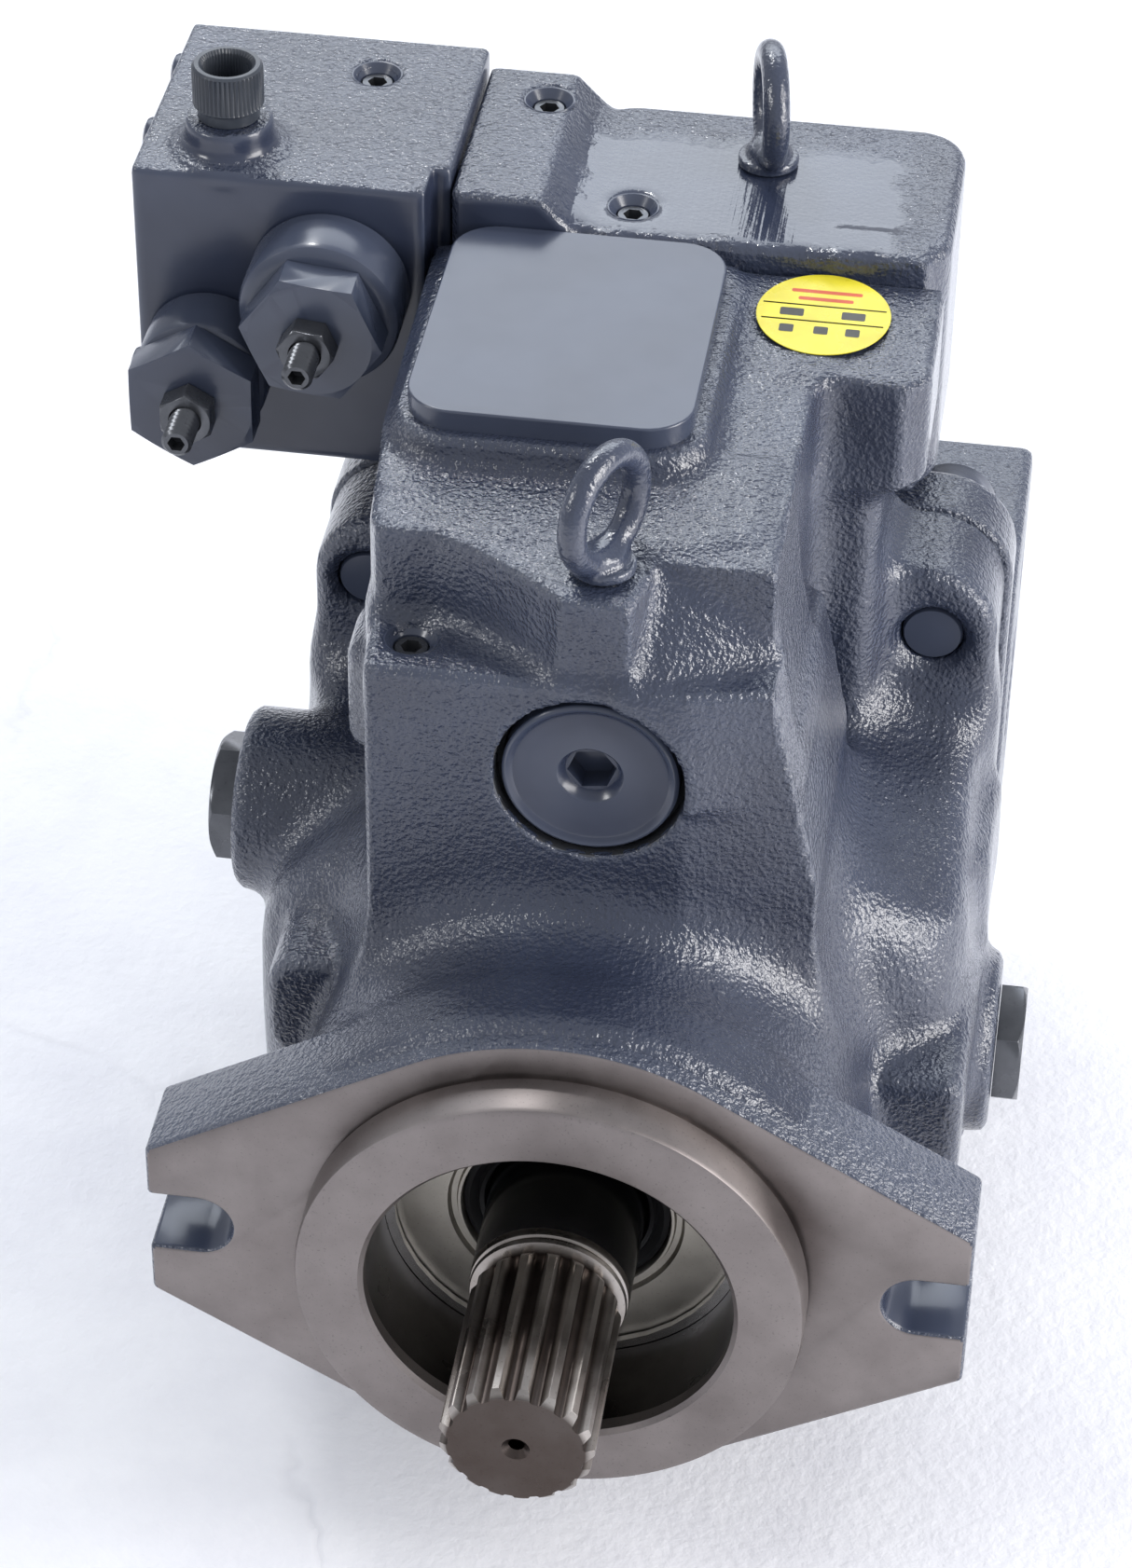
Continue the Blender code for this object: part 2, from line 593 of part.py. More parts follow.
def make_seal_group():
    front = SEAL_COVER_FRONT
    profile = [
        (26.6 * MM, front + 13.5 * MM), (45.8 * MM, front + 13.5 * MM), (45.8 * MM, front), (26.6 * MM, front),
    ]
    as_part(turned(profile, (0, 0, 0), "Y", 36), "seal_cover", STEEL)
    seal = [
        (20.4 * MM, 33 * MM), (26.2 * MM, 33 * MM), (26.2 * MM, 22.5 * MM), (22.9 * MM, 22.5 * MM),
        (22.2 * MM, 21 * MM), (20.4 * MM, 24 * MM),
    ]
    as_part(turned(seal, (0, 0, 0), "Y", 32), "shaft_seal", RUBBER)
    snap = ring(43.6 * MM, 47.4 * MM, 16.9 * MM, 18.6 * MM, "retaining_ring", SPRING)
    cut(snap, box((-6 * MM, 10 * MM, -60 * MM), (6 * MM, 25 * MM, -40 * MM)))


def make_bearings():
    ring(35.3 * MM, 40 * MM, 34.3 * MM, 55.5 * MM, "front_bearing_outer_race", STEEL)
    rollers = turned(
        [(22.9 * MM, 55.5 * MM), (34.9 * MM, 55.5 * MM), (34.9 * MM, 34.8 * MM), (22.9 * MM, 34.8 * MM)],
        (0, 0, 0), "Y", 36,
    )
    as_part(rollers, "front_bearing_rollers", STEEL)
    ring(15.5 * MM, 21 * MM, 187 * MM, 212 * MM, "rear_needle_bearing", STEEL, 32)


# ---------------------------------------------------------------- rotating group and swash plate


def piston_angles():
    return [math.radians(90 + 360 * index / PISTONS) for index in range(PISTONS)]


def place_on_pitch(angle):
    return PISTON_PITCH_RADIUS * math.cos(angle), PISTON_PITCH_RADIUS * math.sin(angle)


def make_barrel():
    barrel = turned(
        [
            (19.2 * MM, BARREL_REAR), (BARREL_RADIUS - 4 * MM, BARREL_REAR), (BARREL_RADIUS, BARREL_REAR - 4 * MM),
            (BARREL_RADIUS, BARREL_FRONT), (19.2 * MM, BARREL_FRONT),
        ],
        (0, 0, 0), "Y", 48,
    )
    holes = [cylinder((0, 120 * MM, 0), "Y", 30 * MM, 26 * MM, segments=32)]
    for angle in piston_angles():
        x, z = place_on_pitch(angle)
        holes.append(cylinder((x, 120 * MM, z), "Y", 57 * MM, PISTON_RADIUS + 0.5 * MM, segments=14))
        holes.append(cylinder((x, 170 * MM, z), "Y", 20 * MM, 6 * MM, segments=8))
    cut(barrel, *holes)
    return as_part(barrel, "cylinder_block", STEEL)


def make_pistons():
    """Nine pistons, each with the ball of its shoe at its front end."""
    made = []
    for index, angle in enumerate(piston_angles()):
        x, z = place_on_pitch(angle)
        profile = [
            (0, 56 * MM), (9 * MM, 56 * MM), (PISTON_RADIUS, 55 * MM), (PISTON_RADIUS, 14 * MM), (5 * MM, 9 * MM),
            (5 * MM, 5.5 * MM), (6.6 * MM, 3 * MM), (7 * MM, 0), (5.6 * MM, -4 * MM), (0, -6.5 * MM),
        ]
        piston = turned(profile, (x, SHOE_BALL_Y, z), "Y", 12)
        made.append(as_part(piston, f"piston_{index + 1}", STEEL))
    return made


def make_shoe_ring():
    """The retainer plate with its nine slipper shoes, which slide on the swash plate."""
    plate = turned(
        [(31 * MM, 105.5 * MM), (57 * MM, 105.5 * MM), (57 * MM, 102.5 * MM), (31 * MM, 102.5 * MM)],
        (0, 0, 0), "Y", 40,
    )
    shoes, sockets = [], []
    for angle in piston_angles():
        x, z = place_on_pitch(angle)
        shoes.append(cylinder((x, SWASH_FACE_Y + GAP, z), "Y", 3.2 * MM, 12.5 * MM, segments=14))
        shoes.append(cylinder((x, SWASH_FACE_Y + 1 * MM, z), "Y", 9.5 * MM, 11 * MM, segments=14))
        sockets.append(cylinder((x, SWASH_FACE_Y + 1.6 * MM, z), "Y", 20 * MM, 9.3 * MM, segments=14))
    join(plate, *shoes)
    cut(plate, *sockets)
    return as_part(plate, "shoe_retainer", BRONZE)


def make_swash_plate():
    """The tilting plate: flat where the shoes slide, part-round where it rocks in its support."""
    reach = SWASH_PIVOT_Y - SWASH_FACE_Y
    end = math.degrees(math.acos(-reach / SWASH_BACK_RADIUS))
    back = arc((SWASH_PIVOT_Y, 0), SWASH_BACK_RADIUS, end, 360 - end, 16)
    plate = outline_prism(back, "X", -48 * MM, 48 * MM)
    face = cylinder((0, SWASH_FACE_Y - 14 * MM, 0), "Y", 14 * MM, 61 * MM, segments=40)
    arm = box((-14 * MM, SWASH_FACE_Y - 12 * MM, 40 * MM), (14 * MM, SWASH_FACE_Y, 66 * MM))
    head = box((-14 * MM, SWASH_FACE_Y - 12 * MM, 64 * MM), (14 * MM, SWASH_FACE_Y + 27 * MM, 79 * MM))
    shaft_hole = box((-26 * MM, 40 * MM, -33 * MM), (26 * MM, 110 * MM, 33 * MM))
    join(plate, face, arm, head)
    cut(plate, shaft_hole, leaning_cylinder(50 * MM, 50 * MM, 5.3 * MM))
    return as_part(plate, "swash_plate", STEEL)


def leaning_cylinder(start, length, radius):
    """A cylinder on the tilting pin's axis, which leans back from the swash plate's pivot."""
    foot = (0, SWASH_PIVOT_Y + start * math.sin(ARM_LEAN), start * math.cos(ARM_LEAN))
    obj = cylinder(foot, "Z", length, radius, segments=16)
    obj.rotation_euler = (-ARM_LEAN, 0, 0)
    return obj


def make_tilting_pin():
    """The pin that leans from the swash plate up into the servo piston, with a ball at its end."""
    profile = [
        (0, 124 * MM), (3.6 * MM, 123 * MM), (5.8 * MM, 118.6 * MM), (3.6 * MM, 113.5 * MM), (3.6 * MM, 83 * MM),
        (5 * MM, 80 * MM), (5 * MM, 66 * MM), (0, 66 * MM),
    ]
    pin = turned(profile, (0, SWASH_PIVOT_Y, 0), "Z", 16)
    pin.rotation_euler = (-ARM_LEAN, 0, 0)
    return as_part(pin, "tilting_pin", STEEL)


def make_swash_support():
    block = box((-50 * MM, CAVITY_FRONT + GAP, -42 * MM), (50 * MM, 72 * MM, 42 * MM))
    groove = cylinder((-80 * MM, SWASH_PIVOT_Y, 0), "X", 160 * MM, SWASH_BACK_RADIUS + GAP, segments=48)
    shaft_hole = cylinder((0, 50 * MM, 0), "Y", 40 * MM, 30 * MM)
    cut(block, groove, shaft_hole)
    return as_part(block, "swash_support", STEEL)


def make_spherical_bush():
    profile = [
        (19.2 * MM, 121 * MM), (27 * MM, 121 * MM), (29.6 * MM, 112 * MM), (27 * MM, 104 * MM),
        (19.2 * MM, 104 * MM),
    ]
    return as_part(turned(profile, (0, 0, 0), "Y", 32), "spherical_bush", STEEL)


def make_valve_plate():
    front = BARREL_REAR + GAP
    plate = turned(
        [(24 * MM, CASING_REAR), (60 * MM, CASING_REAR), (60 * MM, front), (24 * MM, front)], (0, 0, 0), "Y", 48
    )
    cut(plate, *[outline_prism(kidney(side), "Y", 170 * MM, 200 * MM) for side in (-1, 1)])
    return as_part(plate, "valve_plate", BRONZE)


def coil(centre, radius, wire, start, end, turns, name):
    """A compression spring along Y."""
    curve = bpy.data.curves.new(name, "CURVE")
    curve.dimensions = "3D"
    curve.bevel_depth = wire
    curve.bevel_resolution = 0
    curve.use_fill_caps = True
    line = curve.splines.new("POLY")
    count = turns * 12
    line.points.add(count)
    for index, point in enumerate(line.points):
        angle = 2 * math.pi * index / 12
        along = start + wire + (end - start - 2 * wire) * index / count
        point.co = (centre[0] + radius * math.cos(angle), along, centre[1] + radius * math.sin(angle), 1)
    obj = link(bpy.data.objects.new(name, curve), CUTTERS)
    return as_part(realise(obj), name, SPRING)


# ---------------------------------------------------------------- servo piston and compensator


def hex_socket(start, axis, depth, across_flats):
    """The cutter of a hexagon socket."""
    return cylinder(start, axis, depth, across_flats / math.sqrt(3), segments=6)


def make_servo():
    plug = turned(
        [
            (0, 61 * MM), (SERVO_LARGE_RADIUS, 61 * MM), (SERVO_LARGE_RADIUS, 48.6 * MM),
            (SERVO_LARGE_RADIUS - 1 * MM, 47.8 * MM), (0, 47.8 * MM),
        ],
        (0, 0, SERVO_HEIGHT), "Y", 40,
    )
    cut(plug, hex_socket((0, 40 * MM, SERVO_HEIGHT), "Y", 16 * MM, 14 * MM))
    as_part(plug, "servo_plug", STEEL)
    profile = [
        (0, 164 * MM), (SERVO_SMALL_RADIUS, 164 * MM), (SERVO_SMALL_RADIUS, 108 * MM),
        (SERVO_LARGE_RADIUS, 108 * MM), (SERVO_LARGE_RADIUS, 97 * MM), (0, 97 * MM),
    ]
    piston = turned(profile, (0, 0, SERVO_HEIGHT), "Y", 32)
    cut(piston, cylinder((0, SERVO_PIN_Y, SERVO_HEIGHT - 30 * MM), "Z", 38 * MM, 6.4 * MM, segments=20))
    as_part(piston, "servo_piston", STEEL)


def make_adjuster(prefix, place, sleeve_radius, turn):
    """An adjuster: a sleeve on the block, a hexagon cap, a lock nut and the set screw that loads the spring."""
    x, z = place
    front = BLOCK_FRONT - GAP
    sleeve = turned(
        [
            (0, 3 * MM), (11.6 * MM, 3 * MM), (11.6 * MM, -0.001 * MM), (sleeve_radius, -0.001 * MM),
            (sleeve_radius, -15.5 * MM), (sleeve_radius - 1.5 * MM, -17.4 * MM), (0, -17.4 * MM),
        ],
        (x, front, z), "Y", 32,
    )
    cut(sleeve, cylinder((x, front - 30 * MM, z), "Y", 50 * MM, 4.4 * MM, segments=16))
    as_part(sleeve, f"{prefix}_adjuster_sleeve", PAINT)
    cap = cylinder((x, front - 17.7 * MM, z), "Y", -10.3 * MM, 16 * MM / math.cos(math.pi / 6), segments=6, turn=turn)
    cut(cap, cylinder((x, front - 40 * MM, z), "Y", 30 * MM, 4.4 * MM, segments=16))
    as_part(cap, f"{prefix}_adjuster_cap", STEEL)
    nut = cylinder((x, front - 28.3 * MM, z), "Y", -6.4 * MM, 6.5 * MM / math.cos(math.pi / 6), segments=6, turn=turn)
    cut(nut, cylinder((x, front - 40 * MM, z), "Y", 30 * MM, 4.3 * MM, segments=16))
    as_part(nut, f"{prefix}_lock_nut", STEEL)
    screw = cylinder((x, front - 45 * MM, z), "Y", 54 * MM, 4 * MM, segments=16)
    cut(screw, hex_socket((x, front - 46 * MM, z), "Y", 5 * MM, 4 * MM))
    as_part(screw, f"{prefix}_set_screw", STEEL)


def make_compensators():
    make_adjuster("large", LARGE_ADJUSTER, 21 * MM, math.radians(24))
    make_adjuster("small", SMALL_ADJUSTER, 17.5 * MM, 0)
    for prefix, (x, z) in (("large", LARGE_ADJUSTER), ("small", SMALL_ADJUSTER)):
        coil((x, z), 8.5 * MM, 1.3 * MM, 187 * MM, 211 * MM, 5, f"{prefix}_spring")
        spool = turned(
            [
                (0, 244 * MM), (6 * MM, 244 * MM), (6 * MM, 236 * MM), (3.5 * MM, 235 * MM), (3.5 * MM, 228 * MM),
                (6 * MM, 227 * MM), (6 * MM, 220 * MM), (11.5 * MM, 219 * MM), (11.5 * MM, 213.5 * MM), (0, 213.5 * MM),
            ],
            (x, 0, z), "Y", 12,
        )
        as_part(spool, f"{prefix}_spool", STEEL)


# ---------------------------------------------------------------- fittings


def make_eyebolt(name, place, yaw):
    x, y, z = place
    shank = turned(
        [
            (0, 5 * MM), (4.5 * MM, 5 * MM), (6 * MM, 3.6 * MM), (8 * MM, 2.8 * MM), (8 * MM, GAP),
            (EYE_THREAD_RADIUS, GAP), (EYE_THREAD_RADIUS, -14 * MM), (0, -14 * MM),
        ],
        place, "Z", 16,
    )
    angles = [math.radians(90 - 36 * step) for step in range(10)]
    section = [(EYE_RADIUS + EYE_WIRE * math.cos(a), EYE_WIRE * math.sin(a)) for a in angles]
    eye = turned(section, (x, y, z + EYE_HEIGHT), "X", 24, yaw)
    join(shank, eye)
    return as_part(shank, name, STEEL)


def make_cover_screws():
    for index, (x, z) in enumerate(cover_bolt_places()):
        head = CASING_REAR + COVER_EAR_THICKNESS + GAP
        profile = [
            (0, 16 * MM), (11 * MM, 16 * MM), (12 * MM, 15 * MM), (12 * MM, 0), (COVER_BOLT_RADIUS, 0),
            (COVER_BOLT_RADIUS, -46.5 * MM), (COVER_BOLT_RADIUS - 1.2 * MM, -47.7 * MM), (0, -47.7 * MM),
        ]
        screw = turned(profile, (x, head, z), "Y", 20)
        cut(screw, hex_socket((x, head + 20 * MM, z), "Y", -12 * MM, 14 * MM))
        as_part(screw, f"cover_screw_{index + 1}", STEEL)


def make_plugs():
    for name, side, face, z, turn in (
        ("left", -1, LEFT_DRAIN_FACE, LEFT_DRAIN_Z, math.radians(-9)),
        ("right", 1, RIGHT_DRAIN_FACE, RIGHT_DRAIN_Z, math.radians(-13)),
    ):
        start = (side * (face + GAP), DRAIN_Y, z)
        plug = cylinder(start, "X", side * 7 * MM, 15 * MM / math.cos(math.pi / 6), segments=6, turn=turn)
        shank = cylinder((side * (face + 2 * MM), DRAIN_Y, z), "X", -side * 18 * MM, 10.7 * MM, segments=24)
        as_part(join(plug, shank), f"drain_plug_{name}", STEEL)
    for index, (x, y, z) in enumerate(GALLERY_PLUGS):
        plug = cylinder((x, y, z - 8 * MM), "Z", 8 * MM, PLUG_RADIUS, segments=20)
        cut(plug, hex_socket((x, y, z + 1 * MM), "Z", -4.5 * MM, 4 * MM))
        as_part(plug, f"gallery_plug_{index + 1}", STEEL)
    for index, (y, z) in enumerate(SIDE_PLUGS):
        profile = [
            (0, 3.2 * MM), (4.5 * MM, 3.2 * MM), (5.8 * MM, 2.2 * MM), (5.8 * MM, GAP), (4 * MM, GAP),
            (4 * MM, -9 * MM), (0, -9 * MM),
        ]
        plug = turned([(radius, -along) for radius, along in profile][::-1], (BLOCK_LEFT, y, z), "X", 16)
        as_part(plug, f"side_plug_{index + 1}", STEEL)


def make_port_cap():
    profile = [
        (0, 14 * MM), (6.7 * MM, 14 * MM), (6.7 * MM, 24 * MM), (9.2 * MM, 24 * MM), (9.2 * MM, 12.5 * MM),
        (8 * MM, 12 * MM), (8 * MM, 9.3 * MM), (6 * MM, 9.3 * MM), (6 * MM, -5 * MM), (0, -5 * MM),
    ]
    return as_part(turned(profile, (*CAP_PLACE, BLOCK_TOP), "Z", 24), "port_cap", PLASTIC)


def make_label():
    """The round label, which lies on the sloping deck."""
    slope = (DECK_REAR_HEIGHT - DECK_FRONT_HEIGHT) / (147 * MM)
    height = DECK_REAR_HEIGHT - slope * (187 * MM - LABEL_CENTRE[1])
    label = cylinder((*LABEL_CENTRE, height + 0.1 * MM), "Z", 0.5 * MM, LABEL_RADIUS)
    label.rotation_euler = (math.atan(slope), 0, 0)
    return as_part(label, "inspection_label", YELLOW)


def main():
    clear_scene()
    make_casing()
    make_valve_cover()
    make_port_block()
    make_regulator()
    make_block()
    make_shaft()
    make_seal_group()
    make_bearings()
    make_barrel()
    make_pistons()
    make_shoe_ring()
    make_swash_plate()
    make_tilting_pin()
    make_swash_support()
    make_spherical_bush()
    make_valve_plate()
    coil((0, 0), 22.5 * MM, 1.8 * MM, 122 * MM, 148 * MM, 4, "barrel_spring")
    make_servo()
    make_compensators()
    make_eyebolt("eyebolt_front", FRONT_EYE, math.radians(-26))
    make_eyebolt("eyebolt_rear", REAR_EYE, math.radians(12))
    make_cover_screws()
    make_plugs()
    make_port_cap()
    make_label()


main()
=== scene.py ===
"""The look of the axial piston pump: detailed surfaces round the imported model, a pale floor and soft light.

The frame is the part's own: the origin is on the shaft's axis at the flange's face, the shaft points along -Y
and +Z is up. The shape code works in millimetres, and each mesh is scaled to metres when it is made. Materials,
lights and the camera are in metres.
"""

import math

import bmesh
import bpy
import numpy as np
from mathutils import Matrix, Quaternion, Vector


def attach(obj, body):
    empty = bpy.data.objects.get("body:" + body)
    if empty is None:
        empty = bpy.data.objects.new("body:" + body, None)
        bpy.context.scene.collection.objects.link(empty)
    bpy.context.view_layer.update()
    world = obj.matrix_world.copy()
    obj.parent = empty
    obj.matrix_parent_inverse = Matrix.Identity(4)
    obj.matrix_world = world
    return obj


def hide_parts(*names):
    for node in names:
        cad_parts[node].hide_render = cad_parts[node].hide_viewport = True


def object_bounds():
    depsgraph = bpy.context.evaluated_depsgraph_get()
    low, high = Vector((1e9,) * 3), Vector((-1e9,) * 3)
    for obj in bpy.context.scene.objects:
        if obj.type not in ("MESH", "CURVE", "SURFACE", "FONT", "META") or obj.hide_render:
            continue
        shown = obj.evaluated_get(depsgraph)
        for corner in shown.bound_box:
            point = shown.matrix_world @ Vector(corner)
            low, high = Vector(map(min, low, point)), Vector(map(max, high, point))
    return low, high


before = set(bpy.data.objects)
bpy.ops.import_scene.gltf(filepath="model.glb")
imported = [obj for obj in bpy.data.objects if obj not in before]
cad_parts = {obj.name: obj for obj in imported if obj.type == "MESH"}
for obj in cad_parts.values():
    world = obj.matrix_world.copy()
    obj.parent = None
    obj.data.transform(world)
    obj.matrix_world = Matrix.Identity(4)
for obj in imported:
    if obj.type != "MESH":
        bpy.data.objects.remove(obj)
cad_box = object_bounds()

MM = 0.001
AXES = {"X": 0, "Y": 1, "Z": 2}
ORIGIN = (0, 0, 0)

# Sizes and places, in millimetres
FLANGE_THICKNESS = 24
FLANGE_HALF_WIDTH = 103
FLANGE_END_HALF_HEIGHT = 24
FLANGE_ROUND_RADIUS = 72.5
SLOT_CENTRE = 90.5
SLOT_RADIUS = 8.75
PILOT_RADIUS = 63.5
PILOT_HEIGHT = 12.7
PILOT_BORE = 46.2
CASING_REAR = 186
CASTING_FLOOR = -112
DECK_FALL, DECK_RUN = 9, 147  # the deck's top rises this much over this length
COVER_FRONT = 186.3
COVER_BOLTS = ((-75, 88), (75, 88), (-75, -88), (75, -88))  # x, z
COVER_BOLT_HOLE = 8.3
PORT_Y = 254.5
DRAIN_Y = 120
LEFT_DRAIN_Z, RIGHT_DRAIN_Z = 41.4, -16.5
SERVO_Z = 117.3
REGULATOR_FLOOR = 112.3
REGULATOR_REAR = 253.5
# The next places are x, y, z
GALLERY_PLUGS = ((-45.5, 60.5, 144.5), (-39.5, 238, 191.5), (-12, 201.5, 183.5), (-85, 235, 196.5))
FRONT_EYE = (0.3, 62, 169.5)
REAR_EYE = (20, 228, 184)
CAP_PLACE = (-115.5, 192, 197)
EYE_HOLE = 4.3
BLOCK_LEFT = -138.5
BLOCK_FRONT = 177
SIDE_PLUGS = ((242, 187), (208, 187), (182, 132.5))  # y, z on the block's left side
# Each adjuster's x and z, its sleeve's radius and its hexagons' turn in degrees
ADJUSTERS = {"large": (-87, 168, 21, 24), "small": (-118.7, 144.5, 17.5, 0)}


# ---------------------------------------------------------------- shape fields


class Field:
    """A block of space sampled on a grid, in which shapes are signed distances that blend and cut smoothly."""

    def __init__(self, low, high, step):
        self.low = np.array(low, float)
        self.step = step
        counts = [int(math.ceil((h - l) / step)) + 1 for l, h in zip(low, high)]
        lines = [(l + step * np.arange(n)).astype(np.float32) for l, n in zip(low, counts)]
        self.x, self.y, self.z = np.meshgrid(*lines, indexing="ij", sparse=True)
        self.axes = (self.x, self.y, self.z)
        self.value = np.full(counts, 1e3, np.float32)

    def add(self, shape, blend=0.0):
        self.value = smooth_min(self.value, shape, blend)

    def cut(self, shape, blend=0.0):
        self.value = -smooth_min(-self.value, shape, blend)

    def box(self, low, high, radius=0.0):
        reach = []
        for axis, l, h in zip(self.axes, low, high):
            reach.append(np.abs(axis - (l + h) / 2) - (h - l) / 2 + radius)
        return rounded(reach, radius)

    def rod(self, axis, centre, radius, start, end, edge=0.0):
        """A cylinder along an axis; centre holds the other two coordinates in X, Y, Z order."""
        along = self.axes[AXES[axis]]
        others = [a for name, a in zip("XYZ", self.axes) if name != axis]
        across = np.sqrt((others[0] - centre[0]) ** 2 + (others[1] - centre[1]) ** 2) - radius
        lengthwise = np.abs(along - (start + end) / 2) - abs(end - start) / 2
        return rounded([across + edge, lengthwise + edge], edge)

    def prism(self, axis, points, start, end, edge=0.0):
        """An outline extruded along an axis; its points are the other two coordinates in X, Y, Z order."""
        along = self.axes[AXES[axis]]
        others = [a for name, a in zip("XYZ", self.axes) if name != axis]
        across = outline_distance(others[0], others[1], points)
        lengthwise = np.abs(along - (start + end) / 2) - (end - start) / 2
        return rounded([across + edge, lengthwise + edge], edge)

    def slope(self, point, normal):
        """Everything behind a plane, which is given by a point and the normal that points out of the shape."""
        length = math.sqrt(sum(n * n for n in normal))
        return sum((a - p) * n / length for a, p, n in zip(self.axes, point, normal))

    def mesh(self, name):
        return from_arrays(name, *surface_nets(self.value, self.low, self.step))


def rounded(reach, radius):
    """The distance to what all the slabs share, with its edges rounded."""
    outside = sum(np.maximum(r, 0) ** 2 for r in reach)
    inside = reach[0]
    for r in reach[1:]:
        inside = np.maximum(inside, r)
    return np.sqrt(outside) + np.minimum(inside, 0) - radius


def smooth_min(a, b, blend):
    """The nearer of two distances, with a fillet as wide as blend where they meet."""
    if not blend:
        return np.minimum(a, b)
    mix = np.clip(0.5 + 0.5 * (b - a) / blend, 0, 1)
    return b * (1 - mix) + a * mix - blend * mix * (1 - mix)


def outline_distance(u, v, points):
    """Signed distance in the plane to a closed outline."""
    near = None
    inside = None
    for (au, av), (bu, bv) in zip(points, points[1:] + points[:1]):
        du, dv = bu - au, bv - av
        length = max(du * du + dv * dv, 1e-9)
        share = np.clip(((u - au) * du + (v - av) * dv) / length, 0, 1)
        gap = (u - au - du * share) ** 2 + (v - av - dv * share) ** 2
        near = gap if near is None else np.minimum(near, gap)
        if dv:
            crosses = ((av > v) != (bv > v)) & (u < du * (v - av) / dv + au)
            inside = crosses if inside is None else inside ^ crosses
    return np.where(inside, -np.sqrt(near), np.sqrt(near))


def surface_nets(value, low, step):
    """The surface where the field is zero, as points and quads, with one point in each cell that it crosses."""
    solid = value < 0
    shape = tuple(n - 1 for n in value.shape)
    total = np.zeros(shape + (3,), np.float32)
    count = np.zeros(shape, np.float32)
    corners = [(i, j, k) for i in (0, 1) for j in (0, 1) for k in (0, 1)]

    def part(array, corner):
        return array[tuple(slice(c, c + n) for c, n in zip(corner, shape))]

    for first in corners:
        for axis in range(3):
            if first[axis]:
                continue
            second = tuple(c + (a == axis) for a, c in enumerate(first))
            va, vb = part(value, first), part(value, second)
            crossed = part(solid, first) != part(solid, second)
            share = np.where(crossed, va / np.where(crossed, va - vb, 1), 0)
            for a in range(3):
                total[..., a] += np.where(crossed, first[a] + (share if a == axis else 0), 0)
            count += crossed
    used = count > 0
    index = np.full(shape, -1, np.int64)
    index[used] = np.arange(used.sum())
    places = np.argwhere(used) + total[used] / count[used][:, None]
    quads = []
    for axis in range(3):
        edge = [slice(1, -1)] * 3
        edge[axis] = slice(0, -1)
        ahead = list(edge)
        ahead[axis] = slice(1, None)
        first, second = solid[tuple(edge)], solid[tuple(ahead)]
        for outward, which in ((True, first & ~second), (False, ~first & second)):
            cells = np.argwhere(which)
            cells[:, [a for a in range(3) if a != axis]] += 1
            u, v = (axis + 1) % 3, (axis + 2) % 3
            ring = []
            for du, dv in ((-1, -1), (0, -1), (0, 0), (-1, 0)):
                cell = cells.copy()
                cell[:, u] += du
                cell[:, v] += dv
                ring.append(index[tuple(cell.T)])
            ring = np.stack(ring if outward else ring[::-1], axis=1)
            quads.append(ring)
    return low + places * step, np.concatenate(quads)


# ---------------------------------------------------------------- meshes


def from_arrays(name, points, faces):
    mesh = bpy.data.meshes.new(name)
    mesh.vertices.add(len(points))
    mesh.vertices.foreach_set("co", (np.asarray(points) * MM).astype(np.float32).ravel())
    size = faces.shape[1]
    mesh.loops.add(faces.size)
    mesh.loops.foreach_set("vertex_index", faces.astype(np.int32).ravel())
    mesh.polygons.add(len(faces))
    mesh.polygons.foreach_set("loop_start", np.arange(0, faces.size, size, dtype=np.int32))
    mesh.update(calc_edges=True)
    mesh.validate()
    return linked(name, mesh)


def linked(name, mesh):
    obj = bpy.data.objects.new(name, mesh)
    bpy.context.scene.collection.objects.link(obj)
    mesh.shade_smooth()
    return obj


def from_bmesh(name, bm):
    bmesh.ops.recalc_face_normals(bm, faces=bm.faces)
    mesh = bpy.data.meshes.new(name)
    bm.to_mesh(mesh)
    bm.free()
    return linked(name, mesh)


def crease(obj, angle=35):
    obj.data.set_sharp_from_angle(angle=math.radians(angle))
    return obj


FROM_Z_TO = {
    "X": Matrix.Rotation(math.pi / 2, 3, "Y"),
    "Y": Matrix.Rotation(-math.pi / 2, 3, "X"),
    "Z": Matrix.Identity(3),
}


def turned(name, profile, place, axis="Y", steps=96, wave=None, sharp=30):
    """A turned shape from (radius, distance) points; wave(angle, radius, along) may change a point's radius."""
    bm = bmesh.new()
    turn = FROM_Z_TO[axis]
    rings = []
    for radius, along in profile:
        ring = []
        for step in range(steps if radius else 1):
            angle = 2 * math.pi * step / steps
            size = wave(angle, radius, along) if wave and radius else radius
            at = turn @ Vector((size * math.cos(angle), size * math.sin(angle), along))
            ring.append(bm.verts.new((at + Vector(place)) * MM))
        rings.append(ring)
    for low, high in zip(rings, rings[1:]):
        for step in range(steps):
            sides = ((low, step), (low, step + 1), (high, step + 1), (high, step))
            corners = list(dict.fromkeys(ring[at % len(ring)] for ring, at in sides))
            if len(corners) > 2:
                bm.faces.new(corners)
    return crease(from_bmesh(name, bm), sharp)


def looped(profile):
    """A ring's profile, closed by coming back to where it starts."""
    return profile + profile[:1]


def outline_solid(name, points, axis, start, end):
    """A flat outline, in the other two coordinates, extruded along an axis."""
    bm = bmesh.new()
    which = AXES[axis]
    others = [a for a in range(3) if a != which]

    def corner(point, along):
        at = [0, 0, 0]
        at[which] = along
        at[others[0]], at[others[1]] = point
        return bm.verts.new(Vector(at) * MM)

    low = [corner(p, start) for p in points]
    high = [corner(p, end) for p in points]
    bm.faces.new(low)
    bm.faces.new(high)
    for i in range(len(points)):
        j = (i + 1) % len(points)
        bm.faces.new((low[i], low[j], high[j], high[i]))
    return crease(from_bmesh(name, bm))


def arc(centre, radius, start, end, steps):
    angles = [math.radians(start + (end - start) * step / steps) for step in range(steps + 1)]
    return [(centre[0] + radius * math.cos(a), centre[1] + radius * math.sin(a)) for a in angles]


